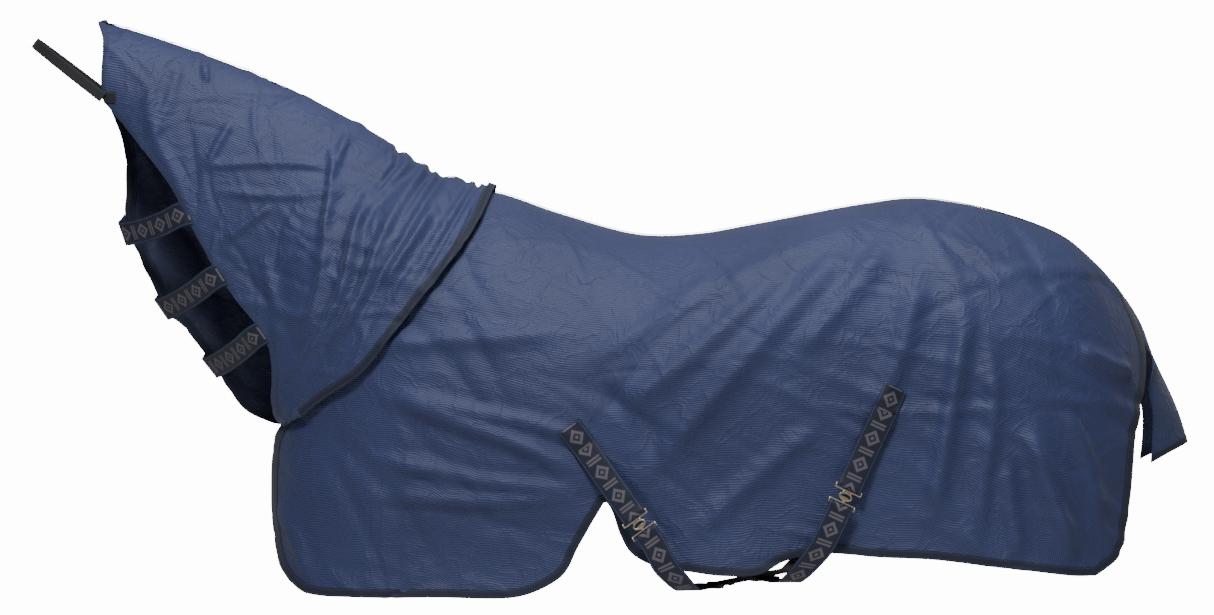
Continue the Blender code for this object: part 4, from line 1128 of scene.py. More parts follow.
NECK_AREA = ((-0.82, -0.50), (0.0, 0.36))
NECK_COMMON = (
    Gathers(), Swell((-0.42, 0.02), 0.16, 0.16, 0.006),
    Fold(((-0.248, 0.010), (-0.276, -0.086), (-0.296, -0.196), (-0.348, -0.296), (-0.406, -0.386)), 0.0090, 0.013, 0.9),
    Fold(((-0.180, -0.010), (-0.225, -0.110), (-0.270, -0.230), (-0.330, -0.330)), 0.0085, 0.014, 0.8),
    Fold(((-0.120, -0.030), (-0.165, -0.110), (-0.220, -0.200)), 0.0080, 0.013, 0.8),
    Fold(((-0.305, 0.060), (-0.330, -0.060), (-0.340, -0.180), (-0.385, -0.330)), 0.0060, 0.014, 0.7),
)
NECK_NEAR_FOLDS = lay(
    *NECK_COMMON,
    Fold(((-0.598, 0.270), (-0.590, 0.240), (-0.582, 0.216)), 0.0040, 0.009, 0.8),
    Fold(((-0.528, 0.148), (-0.560, 0.090), (-0.586, 0.042)), 0.0050, 0.010, 0.8),
    Fold(((-0.434, -0.020), (-0.490, -0.060), (-0.560, -0.110)), 0.0050, 0.010, 0.8),
    Fold(((-0.600, 0.045), (-0.456, 0.050), (-0.320, 0.042)), 0.0045, 0.009, 0.8),
    Fold(((-0.570, 0.000), (-0.378, -0.012), (-0.254, 0.000)), 0.0045, 0.009, -0.8),
    Fold(((-0.332, 0.090), (-0.330, -0.010), (-0.336, -0.110)), 0.0045, 0.009, 0.8),
    Fold(((-0.296, 0.118), (-0.312, 0.060), (-0.328, 0.000)), 0.0045, 0.010, -0.8),
    Fold(((-0.700, 0.240), (-0.690, 0.120), (-0.640, 0.020), (-0.600, -0.080)), 0.0045, 0.016, 0.6),
    Fold(((-0.640, 0.280), (-0.660, 0.180), (-0.700, 0.090)), 0.0040, 0.014, 0.6),
    Fold(((-0.470, -0.120), (-0.440, -0.220), (-0.425, -0.330)), 0.0050, 0.016, 0.6),
    Creases(120, 0.055, 0.0050, 0.0012, 0.3, 1.5, 31, *NECK_AREA),
    Creases(30, 0.11, 0.010, 0.0022, -1.0, 1.0, 32, *NECK_AREA),
    gain=NECK_GAIN)
NECK_FAR_FOLDS = lay(
    *NECK_COMMON,
    Fold(((-0.560, 0.120), (-0.600, 0.020), (-0.640, -0.120)), 0.0050, 0.014, 0.8),
    Fold(((-0.690, -0.020), (-0.620, -0.120), (-0.560, -0.260)), 0.0060, 0.016, 0.8),
    Fold(((-0.640, -0.240), (-0.560, -0.340), (-0.480, -0.430)), 0.0060, 0.016, -0.8),
    Creases(110, 0.055, 0.0050, 0.0012, 0.3, 1.5, 41, *NECK_AREA),
    Creases(30, 0.11, 0.010, 0.0022, -1.0, 1.0, 42, *NECK_AREA),
    gain=NECK_GAIN)


@dataclass(frozen=True)
class Drape:
    """One cloth as it hangs: its form, its side and its folds."""

    half: Half
    side: Side
    folds: Rise

    def at(self, x: Array, z: Array, off: Array | float = 0.0) -> Array:
        """Points on the cloth with its folds, moved off it by a distance."""
        return FORM.on(self.half, x, z, self.side, self.folds(x, z) + off)

    def place(self, xz: Array | Point, off: float = 0.0) -> Array:
        """One point on the cloth."""
        x, z = np.asarray(xz, float)
        return self.at(np.array(x), np.array(z), off)


def over_body(own: Rise, body: Rise) -> Rise:
    """Folds of the neck cover, which lies on the body cloth at the shoulders and follows its folds there."""
    return lambda x, z: own(x, z) + (np.abs(body(x, z)) + 0.002) * ease((x + 0.50) / 0.12)


BODY = {Side.NEAR: Drape(FORM.body_half, Side.NEAR, BODY_NEAR_FOLDS),
        Side.FAR: Drape(FORM.body_half, Side.FAR, BODY_FAR_FOLDS)}
COVER = {Side.NEAR: Drape(FORM.cover_half, Side.NEAR, over_body(NECK_NEAR_FOLDS, BODY_NEAR_FOLDS)),
         Side.FAR: Drape(FORM.cover_half, Side.FAR, over_body(NECK_FAR_FOLDS, BODY_FAR_FOLDS))}


# ---- Pieces shared by the sub-assemblies ---------------------------------------------------------------


def dress(obj: bpy.types.Object, finish: Finish) -> bpy.types.Object:
    """Gives an object its finish."""
    obj.data.materials.clear()
    obj.data.materials.append(finish.material())
    return obj


def stand_for(obj: bpy.types.Object, *nodes: str) -> bpy.types.Object:
    """Puts a finished piece in place of its frame nodes and reports it."""
    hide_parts(*nodes)
    log.info("made %s: %d faces", obj.name, len(obj.data.polygons))
    return obj


def mount(obj: bpy.types.Object, body: str, *nodes: str) -> bpy.types.Object:
    """Hangs a finished piece on its body, in place of its frame nodes."""
    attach(stand_for(obj, *nodes), body)
    return obj


def edging(name: str, drape: Drape, outer: Array, inner: Array, thickness: float, finish: Finish) -> bpy.types.Object:
    """A tape folded round the edge of a cloth.

    Args:
        name: the object's name.
        drape: the cloth.
        outer, inner: the tape's two edges seen from the side, in the same number of points.
        thickness: of the folded tape.
        finish: its finish.

    Returns:
        The new object.
    """
    shares = np.linspace(-0.04, 1.0, 7)
    crown = thickness * 0.12 * (1 - (2 * shares - 1) ** 2)
    x = outer[:, None, 0] + (inner - outer)[:, None, 0] * shares
    z = outer[:, None, 1] + (inner - outer)[:, None, 1] * shares
    points = drape.at(x, z, np.broadcast_to(crown, x.shape))
    width = np.linalg.norm(inner - outer, axis=1).mean()
    along = reach(points[:, 3])
    across = (shares - 0.5) * width
    obj = cloth_mesh(name, points, strip_uv(across, along))
    thicken(obj, thickness, EDGE_ROUND)
    return dress(obj, finish)


def webbing(name: str, middles: Array, across: Array, width: float, thickness: float, finish: Finish,
            slot: str = "strap_webbing", step: float = 0.004) -> bpy.types.Object:
    """A webbing along a line.

    Args:
        name: the object's name.
        middles: points along its middle.
        across: direction across it at each of them.
        width, thickness: its section.
        finish: its finish.
        slot: not used.
        step: spacing of its cross lines.

    Returns:
        The new object.
    """
    line = np.asarray(middles, float)
    fine = smooth_curve(line, 8)
    count = max(3, int(reach(fine)[-1] / step) + 1)
    marks = np.linspace(0, reach(fine)[-1], count)
    points = at(fine, marks)
    shares = reach(fine)[::8]
    turned = np.stack([np.interp(marks, shares, np.asarray(across, float)[:, k]) for k in range(3)], axis=1)
    turned /= np.linalg.norm(turned, axis=1)[:, None]
    offsets = np.linspace(-width / 2, width / 2, 5)
    grid = points[:, None, :] + offsets[None, :, None] * turned[:, None, :]
    obj = cloth_mesh(name, grid, strip_uv(offsets, marks))
    thicken(obj, thickness, min(WEBBING_ROUND, thickness / 3))
    return dress(obj, finish)


def sewn_webbing(name: str, drape: Drape, middles: Array, direction: Array, width: float, thickness: float,
                 finish: Finish, off: float) -> bpy.types.Object:
    """Webbing that lies flat on a cloth and follows it.

    Args:
        name: the object's name.
        drape: the cloth.
        middles: places along its middle, seen from the side.
        direction: direction across it, seen from the side.
        width, thickness: its section.
        finish: its finish.
        off: distance of its middle off the cloth.

    Returns:
        The new object.
    """
    line = at(np.asarray(middles, float), np.linspace(0, reach(np.asarray(middles, float))[-1], 14))
    across = np.asarray(direction, float) / np.linalg.norm(direction)
    offsets = np.linspace(-width / 2, width / 2, 9)
    places = line[:, None, :] + offsets[None, :, None] * across
    points = drape.at(places[..., 0], places[..., 1], off)
    obj = cloth_mesh(name, points, strip_uv(offsets, reach(line)))
    thicken(obj, thickness, min(WEBBING_ROUND, thickness / 3))
    return dress(obj, finish)


# ---- Body ----------------------------------------------------------------------------------------------


@dataclass
class BodyCloth:
    """The two body panels, their bindings and the tape along the spine."""

    columns: int = 264
    rows: int = 122
    binding_thickness: float = 0.0036
    tape_width: float = 0.020
    tape_thickness: float = 0.0013
    panel_area: float = 1.36

    def outlines(self, distance: float) -> tuple[Array, Array, Array]:
        """Front, hem and rear edges, moved inwards by a distance."""
        front = spread(smooth_curve(FORM.body_xz(FORM.front)), self.rows, crowd=1.6)
        hem = spread(smooth_curve(FORM.body_xz(FORM.hem)), self.columns)
        rear = spread(smooth_curve(FORM.body_xz(FORM.rear)), self.rows, crowd=1.6)
        if not distance:
            return front, hem, rear
        loop = np.vstack([front, hem[1:], rear[::-1][1:]])
        inner = inset(loop, distance)
        for end, x in ((0, front[0, 0] + distance), (-1, rear[0, 0] - 0.7 * distance)):
            inner[end] = (x, FORM.top(x))
        return inner[:self.rows], inner[self.rows - 1:self.rows + self.columns - 1], inner[-self.rows:][::-1]

    def panel(self, side: Side) -> bpy.types.Object:
        """One body panel with its folds."""
        front, hem, rear = self.outlines(0.0)
        shares = (hem[:, 0] - hem[0, 0]) / (hem[-1, 0] - hem[0, 0])
        x = front[0, 0] + shares * (rear[0, 0] - front[0, 0])
        grid = patch(np.stack([x, FORM.top(x)], axis=1), hem, front, rear, shares)
        obj = cloth_mesh(f"{side.word}_body_cloth", BODY[side].at(grid[..., 0], grid[..., 1]))
        thicken(obj, CLOTH)
        return dress(obj, NEAR_KNIT if side is Side.NEAR else FAR_KNIT)

    def edge(self, side: Side) -> bpy.types.Object:
        """The binding round the front, hem and rear edges of a panel."""
        outer, inner = ([np.vstack([f, h[1:], r[::-1][1:]]) for f, h, r in
                         (self.outlines(0.0), self.outlines(BINDING_WIDTH))])
        return edging(f"{side.word}_body_binding", BODY[side], outer, inner, self.binding_thickness, BINDING)

    def spine(self) -> bpy.types.Object:
        """The tape over the joint of the two panels."""
        x = np.linspace(-0.052, 1.252, 220)
        z = FORM.top(x) + BODY_NEAR_FOLDS(x, FORM.top(x)) + CLOTH / 2 + self.tape_thickness / 2 + 0.0012
        return webbing("spine_seam_tape", np.stack([x, 0 * x, z], axis=1), np.tile([0.0, 1.0, 0.0], (220, 1)),
                       self.tape_width, self.tape_thickness, TAPE, "binding_tape")

    def build(self) -> None:
        """Makes the body's pieces and hangs them on the rug."""
        for side in Side:
            mount(self.panel(side), "rug", f"body_{side.hand}_panel")
            binding = mount(self.edge(side), "rug", f"body_{side.hand}_binding")
        mount(self.spine(), "rug", "spine_tape")


# ---- Neck cover ----------------------------------------------------------------------------------------


@dataclass
class NeckCover:
    """The neck cover, which is one cloth a side from the poll to the shoulders, with elastic at its crest."""

    neck_columns: int = 150
    yoke_columns: int = 52
    rows: int = 104
    binding_thickness: float = 0.0034
    hem_width: float = 0.012
    tape_width: float = 0.018
    tape_thickness: float = 0.0012
    still: tuple[float, float, float] = (-0.019, 0.0, 0.007)
    turning: tuple[float, float, float] = (-0.188, 0.0, 0.067)

    def edges(self, side: Side, distance: float = 0.0) -> tuple[Array, Array, Array]:
        """Front, throat and rear edges, moved inwards by a distance."""
        near = side is Side.NEAR
        front = spread(smooth_curve(FORM.cover_xz(FORM.near_front if near else FORM.far_front)), self.rows)
        throat = spread(smooth_curve(FORM.cover_xz(FORM.near_throat if near else FORM.far_throat)), self.neck_columns)
        rear = spread(smooth_curve(FORM.cover_xz(FORM.cover_rear)), self.rows, crowd=1.3)
        if distance:
            loop = inset(np.vstack([front, throat[1:]]), distance)
            front, throat = loop[:self.rows], loop[self.rows - 1:]
            rear = inset(rear[::-1], distance)[::-1]
        return front, throat, rear

    def grid(self, side: Side) -> Array:
        """Places of the whole cloth of one side, from the front edge to the rear one."""
        front, throat, rear = self.edges(side)
        crest = smooth_curve(FORM.cover_xz(FORM.crest))[::-1]
        seam = spread(smooth_curve(FORM.cover_xz(FORM.seam)), self.rows, crowd=1.3)
        cut = np.interp(seam[0, 0], crest[:, 0], reach(crest))
        top = at(crest, share_of(throat) * cut)
        seam[0], seam[-1] = top[-1], throat[-1]
        neck = patch(top, throat, front, seam)
        steps = np.linspace(0, 1, self.yoke_columns)
        back = at(crest, cut + steps * (reach(crest)[-1] - cut))
        low = seam[-1] + steps[:, None] * (rear[-1] - seam[-1])
        yoke = patch(back, low, seam, rear, steps, share_of(seam))
        return np.concatenate([neck, yoke[1:]], axis=0)

    def bend(self, obj: bpy.types.Object, *nodes: str) -> bpy.types.Object:
        """Puts a piece in place of its frame nodes and bakes its transform into its mesh."""
        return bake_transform(stand_for(obj, *nodes))

    def build(self) -> None:
        """Makes the neck cover's pieces."""
        for side in Side:
            grid = self.grid(side)
            obj = cloth_mesh(f"{side.word}_neck_cloth", COVER[side].at(grid[..., 0], grid[..., 1]))
            thicken(obj, CLOTH)
            dress(obj, NEAR_KNIT if side is Side.NEAR else FAR_KNIT)
            self.bend(obj, f"neck_{side.hand}_panel", f"neck_yoke_{side.hand}")
            trims = self.trims(side)
        self.crest()

    def trims(self, side: Side) -> list[bpy.types.Object]:
        """The front and throat edge of one side, and the binding of its rear edge."""
        near = side is Side.NEAR
        width = self.hem_width if near else BINDING_WIDTH
        front, throat, rear = self.edges(side)
        front_in, throat_in, _ = self.edges(side, width)
        finish = HEM_KNIT if near else BINDING
        throat_edge = edging(f"{side.word}_throat_edge", COVER[side], np.vstack([front, throat[1:]]),
                             np.vstack([front_in, throat_in[1:]]), self.binding_thickness, finish)
        self.bend(throat_edge, f"neck_binding_{side.hand}")
        rear_in = self.edges(side, BINDING_WIDTH)[2]
        rear_edge = edging(f"{side.word}_cover_rear_binding", COVER[side], rear[::-1], rear_in[::-1],
                           self.binding_thickness, BINDING)
        self.bend(rear_edge, f"yoke_binding_{side.hand}")
        return [throat_edge, rear_edge]

    def crest(self) -> None:
        """The tape along the crest, in place of the frame's tape and elastic."""
        curve = smooth_curve(FORM.cover_xz(FORM.crest))[::-1]
        line = at(curve, np.linspace(0.006, reach(curve)[-1] - 0.012, 210))
        lift = NECK_NEAR_FOLDS(line[:, 0], line[:, 1]) + CLOTH / 2 + self.tape_thickness / 2 + 0.0018
        middles = np.stack([line[:, 0], 0 * lift, line[:, 1] + lift], axis=1)
        tape = webbing("crest_seam_tape", middles, np.tile([0.0, 1.0, 0.0], (210, 1)), self.tape_width,
                       self.tape_thickness, TAPE, "binding_tape")
        self.bend(tape, "crest_tape", "crest_elastic")


# ---- Tail cover ----------------------------------------------------------------------------------------


@dataclass
class TailCover:
    """The sewn upper part of the tail cover and the flap that hangs below it."""

    width: float = 0.17
    hem: float = 0.014
    hem_thickness: float = 0.0034
    top_share: float = 0.37
    ridge: tuple[Point, ...] = (
        (71.9, -23.6), (73.0, -26.6), (74.7, -32.6), (76.0, -40.0), (78.5, -52.1), (79.6, -58.3), (80.2, -62.4))
    edge: tuple[Point, ...] = (
        (71.9, -23.8), (73.35, -29.8), (74.6, -38.5), (75.75, -41.9), (75.3, -46.4), (74.9, -50.2),
        (75.4, -55.4), (75.4, -61.5), (75.1, -68.4))

    def points(self, shares: Array, across: Array, off: Array | float = 0.0) -> Array:
        """The cover's middle surface: a gutter between its ridge and its two side edges.

        Args:
            shares: how far down, from 0 to 1.
            across: from -1 to 1.
            off: distance outwards.

        Returns:
            A grid of points.
        """
        ridge, edge = smooth_curve(FORM.body_xz(self.ridge)), smooth_curve(FORM.body_xz(self.edge))
        ridge = at(ridge, shares * reach(ridge)[-1])[:, None, :]
        edge = at(edge, shares * reach(edge)[-1])[:, None, :]
        side = np.sqrt(1 - across ** 2)[None, :, None]
        line = edge + (ridge - edge) * side
        half = np.minimum(FORM.body_half(edge[..., 0], edge[..., 1]), self.width / 2)
        ripple = 0.004 * np.sin(5.5 * across + 4 * shares[:, None]) * ease(shares[:, None] * 1.6 - 0.5) + off
        return np.stack([line[..., 0] + ripple, half * across[None, :], line[..., 1]], axis=-1)

    def build(self) -> None:
        """Makes the tail cover's pieces."""
        across = np.sin(np.radians(np.linspace(-90, 90, 44))) * 0.995
        length = reach(smooth_curve(FORM.body_xz(self.ridge)))[-1]
        top = cloth_mesh("tail_cover_top", self.points(np.linspace(0.09, self.top_share - 0.001, 30), across))
        flap = cloth_mesh("tail_cover_flap", self.points(np.linspace(self.top_share + 0.001, 1, 60), across))
        for obj in (top, flap):
            thicken(obj, CLOTH)
            dress(obj, HEM_KNIT)
        band = self.points(np.linspace(1 - self.hem / length, 1.0, 5), across)
        marks = np.linspace(-self.hem / 2, self.hem / 2, 5)
        uv = strip_uv(marks, reach(band[2])).transpose(1, 0, 2)
        hem = cloth_mesh("tail_flap_hem", band, uv)
        thicken(hem, self.hem_thickness, EDGE_ROUND)
        dress(hem, BINDING)
        mount(top, "rug", "tail_top_panel")
        mount(flap, "tail_cover", "tail_flap")
        mount(hem, "tail_cover", "tail_flap_binding")


# ---- Clips ---------------------------------------------------------------------------------------------


@dataclass(frozen=True)
class Clip:
    """Sizes of a surcingle clip: a slotted ring plate and a slotted hook plate."""

    webbing: float = 0.050
    bar: float = 0.0026
    slot: float = 0.0052
    side: float = 0.002
    ring_length: float = 0.018
    ring_width: float = 0.028
    ring_wall: float = 0.0035
    hook_shank: float = 0.006
    hook_head: float = 0.016
    hook_head_height: float = 0.004
    hook_reach: float = 0.0105
    plate: float = 0.003
    plate_gap: float = 0.0008
    turn_gap: float = 0.0009
    strap: float = 0.0020

    @property
    def width(self) -> float:
        """Width of the slotted frame."""
        return self.webbing + 2 * (0.001 + self.side)

    @property
    def height(self) -> float:
        """Height of the slotted frame."""
        return 2 * self.bar + self.slot

    @property
    def ring_middle(self) -> float:
        """The ring's middle, from the bar."""
        return self.height + 0.001 + self.ring_length / 2

    @property
    def chain(self) -> float:
        """From the ring's bar to the hook's bar."""
        return self.ring_middle + self.ring_length / 2 + 0.002 + self.height

    def frame(self, bm: bmesh.types.BMesh, axes: ClipFrame) -> None:
        """The slotted part, with a curled end on each side."""
        add_slab(bm, rounded(self.width / 2, 0, self.height, 0.0022), rounded(
            self.width / 2 - self.side - 0.0006, self.bar, self.bar + self.slot, 0.0010), axes,
            -self.plate / 2, self.plate / 2, 0.0007)
        for end in (-1, 1):
            x = end * (self.width / 2 - 0.0012)
            add_rod(bm, axes.world(x, 0.0022, 0.0004), axes.world(x, self.height - 0.0022, 0.0004), 0.0019)

    def ring(self, name: str, axes: ClipFrame) -> bpy.types.Object:
        """The ring plate: a slotted frame, two prongs and an oval ring."""
        bm = bmesh.new()
        self.frame(bm, axes)
        half = self.ring_width / 2
        add_slab(bm, oval(self.ring_middle, half, self.ring_length / 2),
                 oval(self.ring_middle, half - self.ring_wall, self.ring_length / 2 - self.ring_wall), axes,
                 -self.plate / 2, self.plate / 2, 0.0008)
        for end in (-1, 1):
            add_rod(bm, axes.world(end * 0.0068, self.height - 0.001, 0), axes.world(
                end * 0.0086, self.ring_middle - self.ring_length * 0.33, 0), 0.0016)
        return self.finish(name, bm)

    def hook(self, name: str, axes: ClipFrame) -> bpy.types.Object:
        """The hook plate: a slotted frame, a shank and a T-shaped head."""
        bm = bmesh.new()
        self.frame(bm, axes)
        neck, head, top = self.hook_shank / 2, self.hook_head / 2, self.height + self.hook_reach
        low = top - self.hook_head_height
        half = [(neck, self.height - 0.001), (neck, low - 0.0008), (neck + 0.0008, low), (head - 0.001, low),
                (head, low + 0.001), (head, top - 0.001), (head - 0.001, top)]
        add_slab(bm, half + [(-x, y) for x, y in reversed(half)], None, axes, -self.plate / 2, self.plate / 2, 0.0007)
        return self.finish(name, bm)

    def finish(self, name: str, bm: bmesh.types.BMesh) -> bpy.types.Object:
        """Links and dresses a plate."""
        return dress(moulded(name, bm), BRASS)

    def turned(self, axes: ClipFrame, tail: float = 0.022) -> list[Array]:
        """Middle line of webbing from its stitched tip, round the bar and back along its outer layer."""
        centre, radius = self.bar / 2, self.bar / 2 + self.turn_gap + self.strap / 2
        layer = self.strap / 2 + 0.0004
        line = [(-tail, -layer), (-tail / 2, -layer), (-0.004, -radius * 0.85)]
        for angle in range(-75, 76, 30):
            line.append((centre + radius * math.cos(math.radians(angle)), radius * math.sin(math.radians(angle))))
        line += [(-0.004, radius * 0.85), (-tail / 2, layer), (-tail * 1.15, layer)]
        return [axes.world(0, away, out) for away, out in line]


CLIP = Clip()


# ---- Surcingles and belly straps -----------------------------------------------------------------------


@dataclass
class Surcingle:
    """A near-side strap with its ring, and the belly strap that comes up to it from the far side."""

    name: str
    sewn: Point
    lean: Point
    length: float = 0.165
    patch_length: float = 0.045
    sewn_offset: float = 0.0030
    frame_offset: float = 0.0045
    hang_offset: float = 0.016
    patch_offset: float = 0.0012

    def axes(self) -> tuple[Array, Array, ClipFrame]:
        """The sewn point, the strap's start on the folded cloth, and its clip's axes."""
        top = FORM.body_xz([self.sewn])[0]
        low = top + np.array(self.lean) / np.linalg.norm(self.lean) * self.length

        def smooth(xz: Array, off: float) -> Array:
            """A point off the body without its folds."""
            return FORM.spot(FORM.body_half, xz, Side.NEAR, off)

        start, end = smooth(top, self.frame_offset), smooth(low, self.hang_offset)
        outward = smooth(low, 1.0) - smooth(low, 0.0)
        return top, start, ClipFrame.of(end, end - start, outward)

    def build(self) -> None:
        """Makes the strap, its ring and the patch over its sewn end."""
        top, start, axes = self.axes()
        line = CLIP.turned(axes)
        raised = BODY[Side.NEAR].place(top, self.sewn_offset)
        for share in (0.2, 0.45, 0.7, 0.88, 1.0):
            goal = start + (raised - start) * ease(np.array(share))
            line.append(line[9] + share * (goal - line[9]) if share < 1 else raised)
        strap = webbing(f"{self.name}_surcingle_strap", np.array(line), np.tile(axes.across, (len(line), 1)),
                        CLIP.webbing, CLIP.strap, STRAP)
        mount(strap, f"{self.name}_surcingle", f"surcingle_strap_{self.name}")
        mount(CLIP.ring(f"{self.name}_surcingle_ring", axes), f"{self.name}_surcingle_ring",
              f"surcingle_ring_{self.name}")
        up = -np.array(self.lean) / np.linalg.norm(self.lean)
        places = top + up * (-0.004 + (self.patch_length + 0.008) * np.linspace(0, 1, 12)[:, None])
        over = sewn_webbing(f"{self.name}_surcingle_patch", BODY[Side.NEAR], places, (up[1], -up[0]), CLIP.webbing,
                            CLIP.strap, STRAP, self.sewn_offset + self.patch_offset)
        mount(over, "rug", f"surcingle_patch_{self.name}")


FRONT_SURCINGLE = Surcingle("front", (10.45, -62.7), (0.59, -0.81))
REAR_SURCINGLE = Surcingle("rear", (43.7, -53.8), (-0.42, -0.907))


@dataclass(frozen=True)
class BellyLine:
    """Where a belly strap runs.

    hook: axes of its hook. middles, across: its middle line and the direction across it. start: the near end
    of its straight run. run, level: directions along and across that run.
    """

    hook: ClipFrame
    middles: Array
    across: Array
    start: Array
    run: Array
    level: Array

    def axes(self, distance: float) -> ClipFrame:
        """Axes of a fitting on the straight run: along the strap and upwards."""
        up = np.cross(self.run, self.level)
        return ClipFrame.of(self.start + self.run * distance, self.run, up * np.sign(up[2]))


@dataclass
class BellyStrap:
    """A strap from a near-side ring, under the belly, to the far panel, with its hook, slider and keeper."""

    name: str
    partner: Surcingle
    far_sewn: Point
    anchor: Point
    run: Point
    depth: float
    inset: float = 0.065
    slider_place: float = 0.092
    keeper_place: float = 0.158
    slider_length: float = 0.028
    slider_bar: float = 0.0046
    anchor_offset: float = 0.0045
    sewn_offset: float = 0.0030
    anchor_slant: float = 0.0

    def line(self) -> BellyLine:
        """Works out the strap's way from the hook, under the belly, to the far panel."""
        hook = self.partner.axes()[2].facing(CLIP.chain, -CLIP.plate - CLIP.plate_gap)
        near_x, far_x = (part * FORM.body_length / 100 for part in self.run)
        low, width = self.depth * FORM.body_drop, FORM.body_width / 2
        run = np.array([far_x - near_x, 2 * (width - self.inset), 0.0])
        run /= np.linalg.norm(run)
        level = np.array([run[1], -run[0], 0.0])
        anchor_xz = FORM.body_xz([self.anchor])[0]
        anchor = FORM.spot(FORM.body_half, anchor_xz, Side.FAR, self.anchor_offset)
        line = CLIP.turned(hook)
        across = [hook.across] * len(line)
        near_run, far_run = np.array([near_x, self.inset - width, low]), np.array([far_x, width - self.inset, low])
        drop = line[-1]
        for share, out, down in ((0.30, 0.004, 0.45), (0.62, 0.000, 0.75), (0.86, -0.022, 0.95)):
            line.append(np.array([drop[0] + (near_run[0] - drop[0]) * share, drop[1] - out,
                                  drop[2] + (near_run[2] - drop[2]) * down]))
            across.append(hook.across * (1 - share) + level * share)
        line += list(near_run + np.linspace(0, 1, 9)[:, None] * (far_run - near_run))
        across += [level] * 9
        hang = self.partner.hang_offset
        for share, out, up in ((0.16, hang - 0.012, 0.05), (0.34, hang, 0.20), (0.55, hang, 0.45), (0.80, 0.008, 0.75)):
            x, z = far_run[0] + (anchor[0] - far_run[0]) * share, far_run[2] + (anchor[2] - far_run[2]) * up
            y = max(float(FORM.body_half(x, max(z, anchor_xz[1] - 0.1))), anchor[1] - self.anchor_offset) + out
            line.append(np.array([x, y, z]))
            across.append(level * (1 - share) + np.array([1.0, 0.0, 0.0]) * share)
        line.append(anchor)
        across.append(np.array([0.995, self.anchor_slant, 0.0]))
        return BellyLine(hook, np.array(line), np.array(across), near_run, run, level)

    def slider(self, axes: ClipFrame) -> bpy.types.Object:
        """A three-bar slider: a frame round the strap with a bar over it."""
        bm = bmesh.new()
        long, half, inner = self.slider_length / 2, CLIP.webbing / 2, self.slider_bar
        for height in (0.0030, -0.0030):
            add_slab(bm, rounded(half + 0.0042, -long, long, 0.004), rounded(
                half + 0.0004, -long + inner, long - inner, 0.0014), axes, height - 0.0014, height + 0.0014, 0.0006)
        add_slab(bm, rounded(half + 0.0040, -0.0026, 0.0026, 0.0012), None, axes, 0.0018, 0.0044, 0.0006)
        for end in (-1, 1):
            add_rod(bm, axes.world(end * (half + 0.0024), -long + 0.003, 0), axes.world(
                end * (half + 0.0024), long - 0.003, 0), 0.0022)
        return dress(moulded(f"{self.name}_belly_slider", bm), NYLON)

    def keeper(self, along: ClipFrame) -> bpy.types.Object:
        """A loop of narrow webbing round the strap."""
        axes = ClipFrame.of(along.origin, along.outward, along.away)
        outline = np.array(rounded(CLIP.webbing / 2 + 0.0020, -0.0024, 0.0024, 0.0016))
        ring = np.vstack([outline, outline[:1]])
        marks = np.linspace(-0.007, 0.007, 4)
        grid = np.array([[axes.world(x, y, m) for m in marks] for x, y in ring])
        obj = cloth_mesh(f"{self.name}_belly_keeper", grid, strip_uv(marks, reach(ring)))
        thicken(obj, 0.0012, 0.0003)
        return dress(obj, PLAIN_STRAP)

    def build(self) -> None:
        """Makes the strap, its hook, its slider, its keeper and its anchor."""
        line = self.line()
        body = f"{self.name}_belly_strap"
        mount(webbing(f"{self.name}_belly_webbing", line.middles, line.across, CLIP.webbing, CLIP.strap, STRAP),
              body, f"belly_strap_{self.name}")
        mount(CLIP.hook(f"{self.name}_belly_clip_hook", line.hook), body, f"belly_hook_{self.name}")
        mount(self.slider(line.axes(self.slider_place)), f"{self.name}_slider", f"belly_slider_{self.name}")
        mount(self.keeper(line.axes(self.keeper_place)), body, f"belly_keeper_{self.name}")
        low, high = FORM.body_xz([self.anchor, self.far_sewn])
        places = low + np.linspace(0.004 / (high[1] - low[1]), 1, 12)[:, None] * (high - low)
        mount(sewn_webbing(f"{self.name}_belly_anchor", BODY[Side.FAR], places, (1, 0), CLIP.webbing, CLIP.strap, STRAP,
                           self.sewn_offset), "rug", f"belly_anchor_{self.name}")


# ---- Chest straps, neck straps and the brow band --------------------------------------------------------


